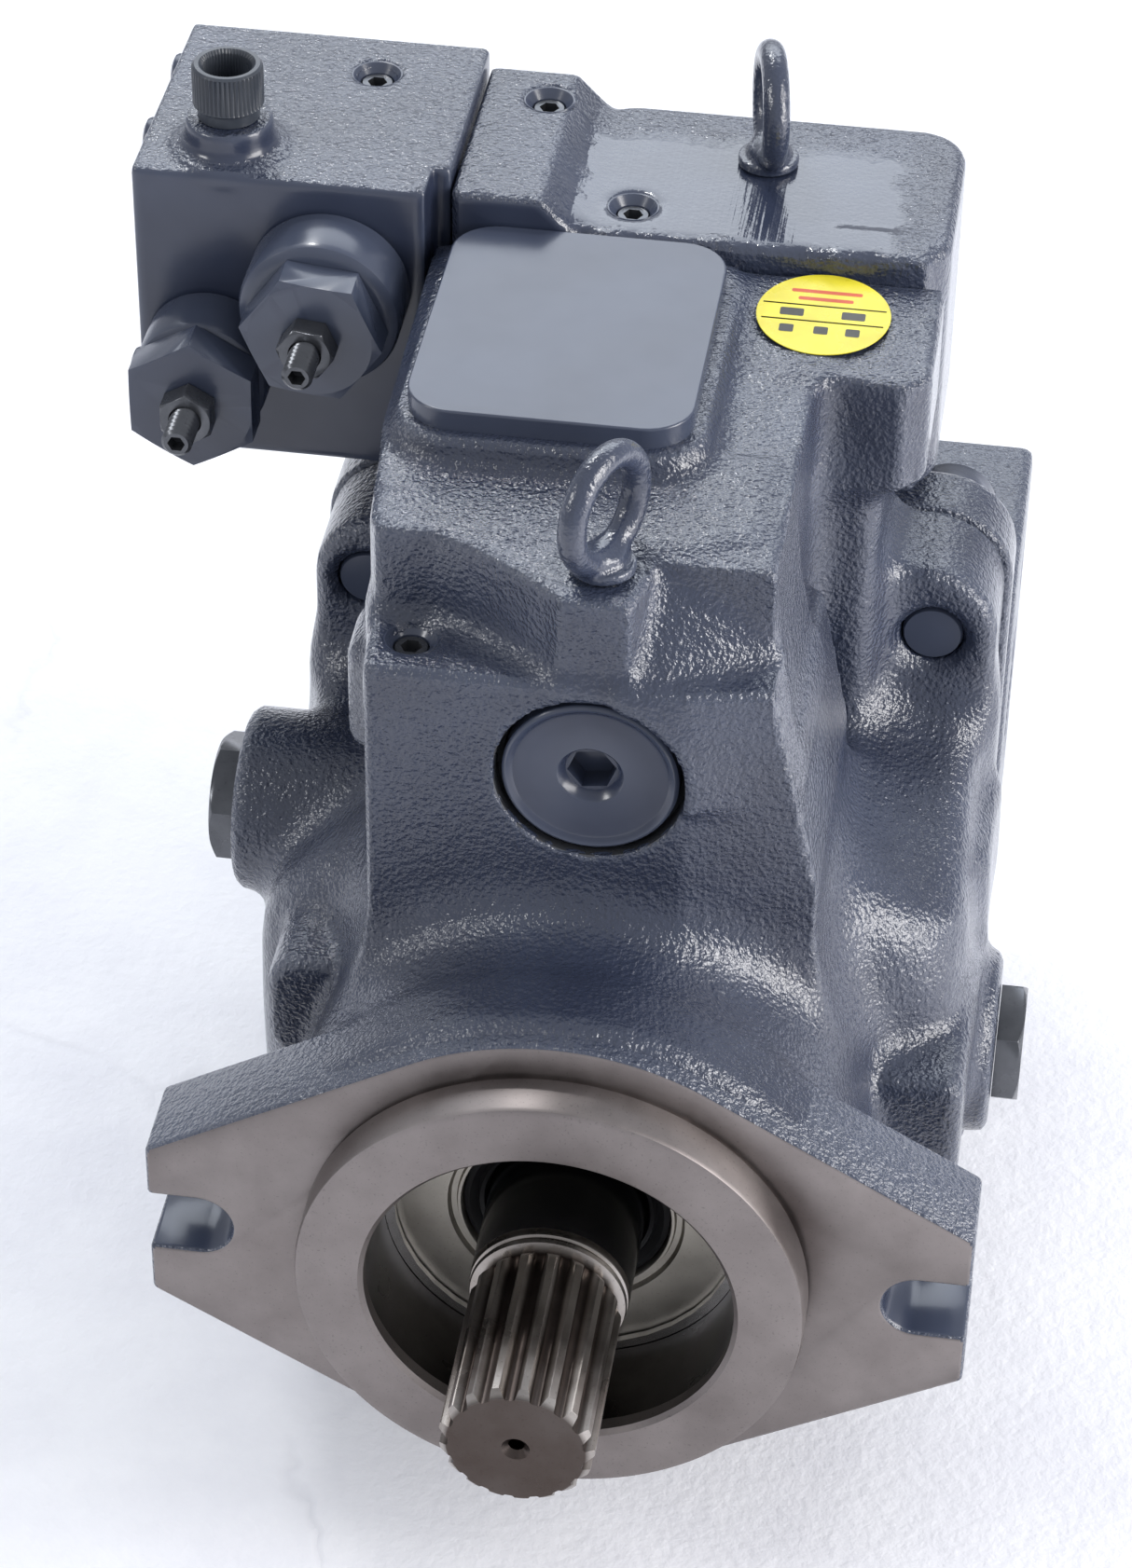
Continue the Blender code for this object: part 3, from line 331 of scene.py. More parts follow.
def rounded_rectangle(left, right, bottom, top, radius, steps=8):
    points = arc((right - radius, top - radius), radius, 0, 90, steps)
    points += arc((left + radius, top - radius), radius, 90, 180, steps)
    points += arc((left + radius, bottom + radius), radius, 180, 270, steps)
    return points + arc((right - radius, bottom + radius), radius, 270, 360, steps)


def hexagon(flats, turn=0.0):
    """A hexagon's outline from its width across the flats."""
    radius = flats / math.sqrt(3)
    angles = [math.radians(turn + 60 * side) for side in range(6)]
    return [(radius * math.cos(a), radius * math.sin(a)) for a in angles]


def apply_modifiers(obj):
    graph = bpy.context.evaluated_depsgraph_get()
    mesh = bpy.data.meshes.new_from_object(obj.evaluated_get(graph))
    obj.modifiers.clear()
    obj.data = mesh
    return obj


def boolean(obj, operation, *others):
    for other in others:
        step = obj.modifiers.new("boolean", "BOOLEAN")
        step.operation = operation
        step.solver = "EXACT"
        step.object = other
    bpy.context.view_layer.update()
    apply_modifiers(obj)
    for other in others:
        bpy.data.objects.remove(other, do_unlink=True)
    return obj


def bevel(obj, width, segments=3, angle=30):
    step = obj.modifiers.new("bevel", "BEVEL")
    step.width = width * MM
    step.segments = segments
    step.limit_method = "ANGLE"
    step.angle_limit = math.radians(angle)
    step.harden_normals = True
    step.use_clamp_overlap = True
    return obj


def bevelled(obj, width, segments=2, angle=12):
    """Rounds the edges of a mesh whose flat faces came out of a Boolean."""
    bm = bmesh.new()
    bm.from_mesh(obj.data)
    bmesh.ops.remove_doubles(bm, verts=bm.verts, dist=1e-6)
    bmesh.ops.dissolve_limit(bm, angle_limit=math.radians(1), verts=bm.verts, edges=bm.edges)
    bm.to_mesh(obj.data)
    bm.free()
    return apply_modifiers(bevel(obj, width, segments, angle))


def joined(name, *objects):
    """Several meshes made into one piece."""
    bm = bmesh.new()
    for obj in objects:
        bm.from_mesh(obj.data)
        bpy.data.objects.remove(obj, do_unlink=True)
    mesh = bpy.data.meshes.new(name)
    bm.to_mesh(mesh)
    bm.free()
    return linked(name, mesh)


# ---------------------------------------------------------------- materials


class Nodes:
    """A material's node tree, with short ways to add the nodes that these finishes use."""

    def __init__(self, name):
        self.material = bpy.data.materials.new(name)
        self.material.use_nodes = True
        self.tree = self.material.node_tree
        self.shader = self.tree.nodes["Principled BSDF"]
        self.place = self.tree.nodes.new("ShaderNodeTexCoord").outputs["Object"]

    def link(self, a, b):
        self.tree.links.new(a, b)

    def add(self, kind, inputs=(), **settings):
        node = self.tree.nodes.new(kind)
        for key, value in settings.items():
            setattr(node, key, value)
        for key, value in dict(inputs).items():
            if isinstance(value, bpy.types.NodeSocket):
                self.link(value, node.inputs[key])
            else:
                node.inputs[key].default_value = value
        return node

    def noise(self, scale, detail=2.0, rough=0.5, place=None):
        inputs = {"Vector": place or self.place, "Scale": scale, "Detail": detail, "Roughness": rough}
        return self.add("ShaderNodeTexNoise", inputs).outputs["Fac"]

    def cells(self, scale, smoothness=0.6):
        inputs = {"Vector": self.place, "Scale": scale, "Smoothness": smoothness}
        return self.add("ShaderNodeTexVoronoi", inputs, feature="SMOOTH_F1").outputs["Distance"]

    def maths(self, operation, a, b=0.0, c=0.0):
        return self.add("ShaderNodeMath", {0: a, 1: b, 2: c}, operation=operation).outputs[0]

    def ranged(self, value, low, high, to_low=0.0, to_high=1.0):
        inputs = {"Value": value, "From Min": low, "From Max": high, "To Min": to_low, "To Max": to_high}
        return self.add("ShaderNodeMapRange", inputs).outputs["Result"]

    def mix(self, share, a, b):
        node = self.tree.nodes.new("ShaderNodeMix")
        node.data_type = "RGBA"
        for socket, value in ((node.inputs[0], share), (node.inputs[6], a), (node.inputs[7], b)):
            if isinstance(value, bpy.types.NodeSocket):
                self.link(value, socket)
            else:
                socket.default_value = value if isinstance(value, float) else (*value, 1)
        return node.outputs[2]

    def bump(self, height, strength, distance, normal=None):
        inputs = {"Height": height, "Strength": strength, "Distance": distance * MM}
        if normal:
            inputs["Normal"] = normal
        return self.add("ShaderNodeBump", inputs).outputs["Normal"]

    def stretched(self, scale):
        return self.add("ShaderNodeMapping", {"Vector": self.place, "Scale": scale}).outputs["Vector"]

    def set(self, **values):
        for key, value in values.items():
            socket = self.shader.inputs[key.replace("_", " ")]
            if isinstance(value, bpy.types.NodeSocket):
                self.link(value, socket)
            elif isinstance(value, tuple):
                socket.default_value = (*value, 1)
            else:
                socket.default_value = value
        return self.material


PAINT_DARK = (0.021, 0.027, 0.050)
PAINT_MID = (0.038, 0.048, 0.081)
# The lighter paint is a painted highlight for convex edges.
PAINT_EDGE_HIGHLIGHT = (0.085, 0.100, 0.140)
# A dark rust brown that also paints shade into the bottoms of the spline's grooves.
RUST_AND_GROOVE_SHADE = (0.035, 0.022, 0.018)
SMOOTH_GRAIN = 0.2


def paint(name, grain, gloss, ground=None):
    """Slate grey gloss paint over a cast skin, which shows by grain, from 0 to 1, without pits below SMOOTH_GRAIN.

    ground is the left, front, right and back, in millimetres, of a patch whose skin is ground off in streaks.
    """
    n = Nodes(name)
    broad = n.noise(28, 3)
    pointed = n.add("ShaderNodeNewGeometry").outputs["Pointiness"]
    # Convex edges, found by pointiness, turn to a lighter paint: a painted highlight along the edges.
    edges = n.ranged(pointed, 0.46, 0.54)
    tone = n.mix(n.ranged(broad, 0.3, 0.7), PAINT_DARK, PAINT_MID)
    tone = n.mix(n.ranged(edges, 0.55, 1.0, 0.0, 0.35), tone, PAINT_EDGE_HIGHLIGHT)
    if grain < SMOOTH_GRAIN:
        height = n.maths("MULTIPLY_ADD", n.noise(90, 2), 1.5, n.noise(1200, 2))
    else:
        lumps = n.maths("MULTIPLY_ADD", n.noise(430, 2, 0.6), 1.5, n.noise(1100, 2, 0.6))
        height = n.maths("MULTIPLY_ADD", n.ranged(n.cells(800, 0.3), 0.0, 0.9), 0.6, lumps)
        bend = n.maths("ABSOLUTE", n.maths("SUBTRACT", pointed, 0.5))
        height = n.maths("MULTIPLY", height, n.ranged(bend, 0.01, 0.05, 1.0, 1.9))
    if ground:
        left, front, right, back = (value * MM for value in ground)
        parts = n.add("ShaderNodeSeparateXYZ", {0: n.place}).outputs
        wander = n.maths("MULTIPLY", n.noise(120, 3), 14 * MM)
        across, along = n.maths("ADD", parts["X"], wander), n.maths("ADD", parts["Y"], wander)
        soft = 5 * MM
        inside = n.ranged(across, left, left + soft)
        inside = n.maths("MULTIPLY", inside, n.ranged(across, right, right - soft))
        inside = n.maths("MULTIPLY", inside, n.ranged(along, front, front + soft))
        inside = n.maths("MULTIPLY", inside, n.ranged(along, back, back - soft))
        height = n.maths("MULTIPLY", height, n.ranged(inside, 0.0, 1.0, 1.0, 0.12))
        lines = n.noise(1.0, 1, 0.5, n.stretched((900, 22, 22)))
        height = n.maths("MULTIPLY_ADD", n.maths("MULTIPLY", lines, inside), 0.5, height)
    normal = n.bump(height, grain, 0.34)
    rough = n.ranged(n.noise(160, 2), 0.3, 0.7, gloss - 0.02, gloss + 0.03)
    n.shader.inputs["Specular IOR Level"].default_value = 0.6
    n.shader.inputs["Coat Weight"].default_value = 0.5 if grain > SMOOTH_GRAIN else 0.1
    n.shader.inputs["Coat Roughness"].default_value = 0.5 * gloss
    return n.set(Base_Color=tone, Roughness=rough, Normal=normal, Coat_Normal=normal)


def metal(name, dark, light, rough, grain=0.15, metallic=1.0, scale=(900, 60, 900), valley=None):
    """Bare metal with fine tool marks, stains and small specks.

    Nearer the Y axis than valley, in millimetres, it turns dark rust brown: that is the bottom of the spline's
    grooves, and the darkening is partly their rust and partly painted shade in the grooves.
    """
    n = Nodes(name)
    stain = n.noise(45, 4, 0.6)
    specks = n.ranged(n.noise(1400, 2), 0.62, 0.74)
    tone = n.mix(n.ranged(stain, 0.3, 0.7), dark, light)
    tone = n.mix(n.maths("MULTIPLY", specks, 0.35), tone, tuple(0.35 * c for c in dark))
    if valley:
        # Partly rust and partly painted shade: the bottoms of the grooves are darkened.
        out = n.add("ShaderNodeVectorMath", {0: n.stretched((1, 0, 1))}, operation="LENGTH").outputs["Value"]
        groove_shade = n.ranged(out, (valley - 0.7) * MM, (valley + 0.5) * MM, 0.85, 0.0)
        tone = n.mix(groove_shade, tone, RUST_AND_GROOVE_SHADE)
    marks = n.noise(1.0, 2, 0.6, n.stretched(scale))
    normal = n.bump(marks, grain, 0.08)
    finish = n.ranged(stain, 0.3, 0.7, rough - 0.06, rough + 0.08)
    return n.set(Base_Color=tone, Roughness=finish, Metallic=metallic, Normal=normal)


def simple(name, colour, rough, metallic=0.0, grain=0.2, scale=700):
    """One colour with a slight unevenness in tone, gloss and surface."""
    n = Nodes(name)
    tone = n.mix(n.ranged(n.noise(90, 3), 0.3, 0.7), tuple(0.75 * c for c in colour), colour)
    normal = n.bump(n.noise(scale, 2), grain, 0.1)
    finish = n.ranged(n.noise(200, 2), 0.3, 0.7, rough - 0.05, rough + 0.05)
    return n.set(Base_Color=tone, Roughness=finish, Metallic=metallic, Normal=normal)


def floor_finish():
    """Pale plaster with soft clouds and a few hairlines that wander."""
    n = Nodes("floor_plaster")
    scales = {"X": 9, "Y": 7}
    wander = {axis: n.maths("MULTIPLY", n.noise(scale, 4, 0.6), 0.16) for axis, scale in scales.items()}
    offset = n.add("ShaderNodeCombineXYZ", wander).outputs[0]
    place = n.add("ShaderNodeVectorMath", {0: n.place, 1: offset}, operation="ADD")
    inputs = {"Vector": place.outputs[0], "Scale": 4.2}
    veins = n.add("ShaderNodeTexVoronoi", inputs, feature="DISTANCE_TO_EDGE")
    line = n.ranged(veins.outputs["Distance"], 0.0, 0.018, 1.0, 0.0)
    gaps = n.ranged(n.noise(11, 2), 0.5, 0.62)
    line = n.maths("MULTIPLY", line, gaps)
    cloud = n.ranged(n.noise(14, 5, 0.65), 0.35, 0.65)
    tone = n.mix(cloud, (0.83, 0.83, 0.87), (0.92, 0.92, 0.945))
    tone = n.mix(n.maths("MULTIPLY", line, 0.16), tone, (0.42, 0.42, 0.47))
    height = n.maths("SUBTRACT", n.maths("ADD", n.noise(60, 5, 0.6), n.noise(240, 3, 0.6)), line)
    return n.set(Base_Color=tone, Roughness=0.75, Normal=n.bump(height, 0.35, 1.0))


CAST = paint("cast_paint", 0.85, 0.17)
SMOOTH = paint("machined_paint", 0.02, 0.24)
GROUND = paint("ground_paint", 0.85, 0.17, (-24, 192, 66, 246))
FORGED = paint("forged_paint", 0.4, 0.2)
BARE = metal("bare_iron", (0.20, 0.178, 0.172), (0.29, 0.262, 0.254), 0.42, 0.10, scale=(60, 900, 60))
# The bore's iron is near black: painted shade inside the shaft's bore.
BORE = metal("bore_iron_painted_shade", (0.035, 0.032, 0.030), (0.07, 0.064, 0.06), 0.3, 0.10, scale=(60, 900, 60))
SPLINE = metal(
    "spline_steel", (0.25, 0.222, 0.20), (0.46, 0.43, 0.405), 0.30, 0.12, scale=(900, 30, 900), valley=17.4,
)
SEAT = metal("seal_cover_steel", (0.34, 0.32, 0.28), (0.50, 0.47, 0.42), 0.45, 0.12)
RING = metal("bright_ring", (0.55, 0.54, 0.53), (0.72, 0.71, 0.70), 0.22, 0.05)
JOURNAL = simple("black_journal", (0.008, 0.008, 0.009), 0.22, 0.3, 0.05)
BLACK_STEEL = metal("black_steel", (0.075, 0.079, 0.088), (0.15, 0.156, 0.17), 0.24, 0.08, 0.7)
RUBBER = simple("seal_rubber", (0.012, 0.012, 0.013), 0.5)
PLASTIC = simple("cap_plastic", (0.045, 0.053, 0.068), 0.32)
YELLOW = simple("label_yellow", (0.83, 0.72, 0.035), 0.3, 0.0, 0.08, 300)
LABEL_MARK = simple("label_mark", (0.03, 0.028, 0.02), 0.4)
LABEL_LINE = simple("label_line", (0.65, 0.09, 0.02), 0.4)


def finish(obj, *materials, slot="painted_casting", body="housing", nodes=()):
    """Gives a piece its materials and says what it rides on and which nodes it stands for."""
    obj.data.materials.clear()
    for material in materials:
        obj.data.materials.append(material)
    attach(obj, body)
    if nodes:
        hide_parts(*nodes)
    return obj


def paint_faces(obj, second, where):
    """Gives the second material to the faces whose normal and centre, in millimetres, pass a test."""
    mesh = obj.data
    if second.name not in mesh.materials:
        mesh.materials.append(second)
    index = list(mesh.materials.keys()).index(second.name)
    for face in mesh.polygons:
        if where(face.normal, face.center / MM):
            face.material_index = index


# ---------------------------------------------------------------- castings


def flange_points(slots=False):
    """The two-bolt flange's outline: a round middle with a straight-ended ear at each side."""
    corner = math.hypot(FLANGE_HALF_WIDTH, FLANGE_END_HALF_HEIGHT)
    angle = math.degrees(math.atan2(FLANGE_END_HALF_HEIGHT, FLANGE_HALF_WIDTH))
    tangent = angle + math.degrees(math.acos(FLANGE_ROUND_RADIUS / corner))
    right = [(FLANGE_HALF_WIDTH, -FLANGE_END_HALF_HEIGHT), (FLANGE_HALF_WIDTH, FLANGE_END_HALF_HEIGHT)]
    if slots:
        notch = arc((SLOT_CENTRE, 0), SLOT_RADIUS, 270, 90, 24)
        right[1:1] = [(FLANGE_HALF_WIDTH, -SLOT_RADIUS), *notch, (FLANGE_HALF_WIDTH, SLOT_RADIUS)]
    left = [(-x, -z) for x, z in right]
    points = right + arc((0, 0), FLANGE_ROUND_RADIUS, tangent, 180 - tangent, 48)
    return points + left + arc((0, 0), FLANGE_ROUND_RADIUS, 180 + tangent, 360 - tangent, 48)


def slot_points(side):
    outer = side * (FLANGE_HALF_WIDTH + 5)
    inner = arc((side * SLOT_CENTRE, 0), SLOT_RADIUS, 90, 90 + side * 180, 16)
    return [(outer, SLOT_RADIUS), *inner, (outer, -SLOT_RADIUS)]


def shrunk(points, share):
    return [(x * share, z * share) for x, z in points]


def in_slot(_, centre):
    in_height = abs(centre.z) < SLOT_RADIUS + 0.1
    return abs(centre.x) > SLOT_CENTRE - 12.5 and in_height and 0.5 < centre.y < FLANGE_THICKNESS - 0.5


def make_flange():
    flange = outline_solid("flange", flange_points(True), "Y", 0, FLANGE_THICKNESS)
    radius = PILOT_BORE + 4
    bore = turned("bore", [(0, -20), (radius, -20), (radius, 40), (0, 40)], ORIGIN, steps=128)
    apply_modifiers(bevel(boolean(flange, "DIFFERENCE", bore), 1.3))
    finish(flange, CAST, slot="painted_casting", nodes=("casing",))
    paint_faces(flange, BARE, lambda n, c: n.y < -0.9 and c.y < 0.1)
    paint_faces(flange, SMOOTH, in_slot)
    crease(flange, 50)
    pilot = turned("pilot", looped([
        (PILOT_BORE + 5, 0.6), (PILOT_BORE + 5, -8), (PILOT_BORE, -8), (PILOT_BORE, -PILOT_HEIGHT + 1.2),
        (PILOT_BORE + 1.2, -PILOT_HEIGHT), (PILOT_RADIUS - 1.8, -PILOT_HEIGHT),
        (PILOT_RADIUS - 0.4, -PILOT_HEIGHT + 0.5), (PILOT_RADIUS, -PILOT_HEIGHT + 1.6),
        (PILOT_RADIUS, -1.2), (PILOT_RADIUS - 1.0, -0.6), (PILOT_RADIUS - 1.0, 0.6),
    ]), ORIGIN, steps=160)
    finish(pilot, BARE, nodes=("casing",))
    bore = turned("pilot_bore", looped([
        (PILOT_BORE, -7.9), (PILOT_BORE, 16.6), (PILOT_BORE + 1.6, 16.6), (PILOT_BORE + 1.6, 18.8),
        (PILOT_BORE, 18.8), (PILOT_BORE, 34), (40.3, 34), (40.3, 57), (60, 57), (60, 30),
        (PILOT_BORE + 3.9, 24), (PILOT_BORE + 3.9, -7.9),
    ]), ORIGIN, steps=128)
    finish(bore, BORE, nodes=("casing",))


def servo_cone(f):
    """Above zero behind the cone round the servo bore, which runs from the bore's face back to the deck."""
    face, face_radius = 47, 28
    lean, share = 0.79, 0.785  # how far back it runs for its radius; what makes the value a true distance
    out = np.sqrt(f.x ** 2 + (f.z - SERVO_Z) ** 2)
    return (f.y - face - lean * (out - face_radius)) * share


def limit_to(f, *limits):
    """Cuts off sharply what is above zero in any of the limits."""
    for limit in limits:
        f.value = np.maximum(f.value, limit)


def casting_field():
    """The casing's outside. The order matters: each fillet is between a shape and all those before it."""
    f = Field((-106, 0, -116), (107, 190, 190), 1.75)
    f.add(f.rod("Y", (0, 0), 73.5, 8, 95, 2))
    flange = f.prism("Y", shrunk(flange_points(), 0.985), 4, 23, 2)
    body = f.prism("Y", rounded_rectangle(-91.5, 91.5, -100, 62, 42), 80, 165, 12)
    f.add(body, 26)
    slab_plan = [(-55, 47), (22.6, 47), (56, 56), (56, 130), (-58, 130), (-58, 75)]
    slab = f.prism("Z", slab_plan, 30, 145, 2.2)
    side = f.slope((48, 60, 120), (1, 0, 0.209))
    cone = servo_cone(f)
    notch = -smooth_min(cone, smooth_min(f.z - 121, f.x - 2, 6), 4)
    slab = -smooth_min(-np.maximum(slab, side), notch, 3)
    f.add(slab, 16)
    f.add(flange, 9)
    deck_plan = [
        (-55.5, 69), (-42, 69), (-30, 64), (-12, 52), (-8, 48.5), (9, 48.5), (13, 66), (41, 66), (43, 190),
        (-61, 190), (-61, 110), (-58, 75),
    ]
    top = f.slope((0, 40, 169), (0, -DECK_FALL, DECK_RUN))
    deck = np.maximum(f.prism("Z", deck_plan, 100, 200, 3), top)
    step_plan = [(35, 146), (64, 142), (70.5, 148), (70.5, 190), (35, 190)]
    step = np.maximum(f.prism("Z", step_plan, 143, 200, 3), top)
    rise = np.maximum(f.box((6, 45, 112), (60, 110, 190)), side)
    rise = -smooth_min(-rise, cone, 3)
    upper = smooth_min(smooth_min(deck, step, 10), rise, 3)
    upper = -smooth_min(-upper, -(top - 0.2), 3.5)
    f.add(upper, 6)
    f.add(f.prism("Z", rounded_rectangle(-58.5, 20, 96, 190, 15), 160, 178.5, 3), 5)
    f.add(f.prism("Y", rounded_rectangle(-89.5, 92, -112, 108.5, 20), 157, 190, 4), 10)
    f.add(f.box((30, 146, 40), (60, 190, 146), 6), 12)
    f.add(f.box((-54, 118, 50), (40, 166, 112), 4), 8)
    f.add(f.box((-60, 88, -112), (60, 170, -90), 4), 8)
    f.add(f.prism("X", [(96, 10), (96, 44), (150, 64), (165, 70), (165, 10)], 40, 89, 8), 16)
    f.add(f.prism("X", [(100, 10), (100, 42), (150, 62), (165, 68), (165, 10)], -87, -40, 8), 14)
    f.add(f.rod("X", (DRAIN_Y, LEFT_DRAIN_Z), 24.5, -101.2, -60, 3), 6)
    f.add(f.rod("X", (DRAIN_Y, RIGHT_DRAIN_Z), 24.5, 60, 102, 3), 6)
    f.add(f.box((80, 122, -60), (96, 162, 43), 5), 6)
    f.add(f.box((-66, 80, 92), (-50, 102, 125), 5), 6)
    f.add(f.prism("Y", rounded_rectangle(-83.5, -58, 8, 41, 9), 55.5, 95, 3.5), 2)
    f.add(f.prism("Y", rounded_rectangle(73, 96, -16, 18.5, 5), 60, 126, 4), 6)
    limit_to(f, f.y - CASING_REAR, 1.5 - f.y, CASTING_FLOOR - f.z)
    return f


def cut_casting(f):
    """The shaft's and servo's bores, the way between them, the slots, and the holes for screws and plugs."""
    f.cut(f.rod("Y", (0, 0), PILOT_BORE + 2, -20, 34))
    f.cut(f.rod("Y", (0, 0), 42, 20, 70))
    f.cut(f.rod("Y", (0, 0), 67.5, 57, 200))
    f.cut(f.rod("Y", (0, SERVO_Z), 23.4, 30, 61.5))
    f.cut(f.rod("Y", (0, SERVO_Z), 22.5, 55, 112))
    f.cut(f.rod("Y", (0, SERVO_Z), 15.3, 100, 170))
    f.cut(f.box((-9, 82, 40), (9, 135, 108)))
    f.cut(f.box((-17, 57, 40), (17, 130, 84)))
    for side in (-1, 1):
        f.cut(f.prism("Y", slot_points(side), -5, 40) - 1.8, 1)
    for x, z in COVER_BOLTS:
        f.cut(f.rod("Y", (x, z), 10.2, 130, 158.2, 0), 0.8)
        f.cut(f.rod("Y", (x, z), COVER_BOLT_HOLE, 140, 200))
    f.cut(f.rod("X", (DRAIN_Y, LEFT_DRAIN_Z), 11, -130, -60))
    f.cut(f.rod("X", (DRAIN_Y, RIGHT_DRAIN_Z), 11, 60, 130))
    f.cut(f.rod("Z", FRONT_EYE[:2], 10.5, 169.5, 190), 1.5)
    f.cut(f.rod("Z", FRONT_EYE[:2], EYE_HOLE, 152, 190))
    cut_plug_seat(f, GALLERY_PLUGS[0], 10.5, 5.5)


def cut_plug_seat(f, place, below=10, above=10):
    """A socket plug's hole and its countersink."""
    x, y, z = place
    f.cut(f.rod("Z", (x, y), 4.9, z - below, z + above))
    f.cut(f.rod("Z", (x, y), 6.2, z - 0.7, z + above), 1.6)


def make_casting():
    f = casting_field()
    cut_casting(f)
    finish(f.mesh("cast_housing"), CAST, nodes=("casing",))
    pad = outline_solid("mounting_pad", rounded_rectangle(-55, 15.5, 100, CASING_REAR, 12), "Z", 174, 184)
    finish(bevel(pad, 0.6, 3), SMOOTH, nodes=("casing",))


def cover_field():
    """The rear cover: its flange, its block and the ports in the block's two sides."""
    f = Field((-100, 184, -116), (100, 296, 114), 1.75)
    f.add(f.prism("Y", rounded_rectangle(-91, 94, -112, 108.5, 21), 183, 206, 3))
    f.add(f.box((-60, 196, -112), (60, 262, 112), 6), 8)
    f.add(f.box((-95, 217, -60.7), (95, 292, 60.7), 3), 6)
    f.add(f.box((-60, 196, -50), (62, 225, 50), 4), 8)
    limit_to(f, COVER_FRONT - f.y, CASTING_FLOOR - f.z, f.z + CASTING_FLOOR)
    for x, z in COVER_BOLTS:
        f.cut(f.rod("Y", (x, z), COVER_BOLT_HOLE, 180, 230))
        f.cut(f.rod("Y", (x, z), 14, 206, 230), 1)
    for side, radius, across, up in ((1, 19, 17.5, 30), (-1, 25, 21.5, 38)):
        outer = side * 110
        f.cut(f.rod("X", (PORT_Y, 0), radius, outer, side * 38))
        for y in (PORT_Y - across, PORT_Y + across):
            for z in (-up, up):
                f.cut(f.rod("X", (y, z), 5.5, outer, side * 70))
    f.cut(f.rod("Y", (0, 0), 21.3, 180, 219))
    return f


def make_cover():
    cover = finish(cover_field().mesh("rear_cover"), CAST, nodes=("valve_cover", "port_block"))
    paint_faces(cover, SMOOTH, lambda n, c: abs(n.x) > 0.97 and abs(c.x) > 94 and c.y > 217)


def make_regulator():
    f = Field((-62, 184, 109), (74, 266, 196), 1.3)
    plan = rounded_rectangle(-29, 71, COVER_FRONT, REGULATOR_REAR, 13)
    f.add(f.prism("Z", plan, REGULATOR_FLOOR, 184, 3.5))
    f.add(f.box((40, COVER_FRONT, REGULATOR_FLOOR), (66, 200, 184), 2), 2)
    f.add(f.box((-57.3, COVER_FRONT, REGULATOR_FLOOR), (-20, REGULATOR_REAR, 160), 2), 3)
    section = [(-57.3, 150), (-57.3, 192), (-34, 192), (-25, 183), (-20, 150)]
    f.add(f.prism("Y", section, 186.5, 253.3, 2.2), 4)
    limit_to(f, REGULATOR_FLOOR - f.z)
    f.cut(f.rod("Z", REAR_EYE[:2], EYE_HOLE, 165, 200))
    for place in GALLERY_PLUGS[1:3]:
        cut_plug_seat(f, place)
    regulator = finish(f.mesh("regulator_casting"), GROUND, nodes=("regulator_body",))
    paint_faces(regulator, SMOOTH, lambda n, c: n.y < -0.9 and c.x < 0)


def make_block():
    f = Field((-142, 173, 109), (-54, 257, 210), 1.15)
    f.add(f.box((BLOCK_LEFT, BLOCK_FRONT, 112.6), (-57.8, REGULATOR_REAR, 197), 1.4))
    x, y, z = CAP_PLACE
    boss = f.rod("Z", (x, y), 11.4, z - 3, z + 9, 1.2)
    f.add(smooth_min(boss, f.rod("Z", (x, y), 14.5, z - 3, z + 0.6, 0.5), 4), 3)
    f.cut(f.box((-62.5, 165, 100), (-40, 189.5, 215)), 0.5)
    f.cut(f.rod("Z", (x, y), 6.3, z - 14, z + 20))
    for adjuster in ADJUSTERS.values():
        f.cut(f.rod("Y", adjuster[:2], 12, 170, 246))
    for place in SIDE_PLUGS:
        f.cut(f.rod("X", place, 4.3, -150, -128))
    cut_plug_seat(f, GALLERY_PLUGS[3])
    block = finish(f.mesh("compensator_casting"), CAST, nodes=("compensator_block",))
    paint_faces(block, SMOOTH, lambda n, c: n.z < 0.7)


# ---------------------------------------------------------------- shaft and seal


def make_shaft():
    teeth = 17
    flank = [(0.12, 18.9), (0.17, 18.6), (0.30, 16.7), (0.36, 16.4)]  # share of the pitch, radius
    tooth_points = [(-share, radius) for share, radius in flank[::-1]] + flank
    points = []
    for tooth in range(teeth):
        for share, radius in tooth_points:
            angle = 2 * math.pi * (tooth + share) / teeth
            points.append((radius * math.cos(angle), radius * math.sin(angle)))
    spline = outline_solid("shaft_spline", points, "Y", -62, -10)
    end = turned("end", [
        (0, -62.01), (16.9, -62.01), (19.6, -59.6), (19.6, -16.5), (17.0, -12.5), (17.0, -5), (0, -5),
    ], ORIGIN)
    boolean(spline, "INTERSECT", end)
    centre = turned("centre", [
        (0, -52), (1.9, -52), (1.9, -60.4), (3.9, -62.4), (3.9, -70), (0, -70),
    ], ORIGIN, steps=48)
    boolean(spline, "DIFFERENCE", centre)
    crease(bevel(spline, 0.25, 2, 40), 40)
    finish(spline, SPLINE, slot="machined_steel", body="rotor", nodes=("drive_shaft",))
    shoulder = turned("shaft_shoulder", [
        (0, -12.6), (17.2, -12.6), (19.4, -11.6), (19.7, -10.6), (19.2, -10.2), (19.2, -9.6), (19.8, -9.2),
        (20, -8.6), (20, -7), (0, -7),
    ], ORIGIN, steps=128)
    finish(shoulder, SPLINE, slot="machined_steel", body="rotor", nodes=("drive_shaft",))
    rear = turned("shaft_journal", [
        (0, -7.1), (20, -7.1), (20, 33), (22.5, 34), (22.5, 56), (18.5, 57), (18.5, 181), (15, 183), (15, 214),
        (0, 214),
    ], ORIGIN, steps=128)
    finish(rear, JOURNAL, slot="machined_steel", body="rotor", nodes=("drive_shaft",))


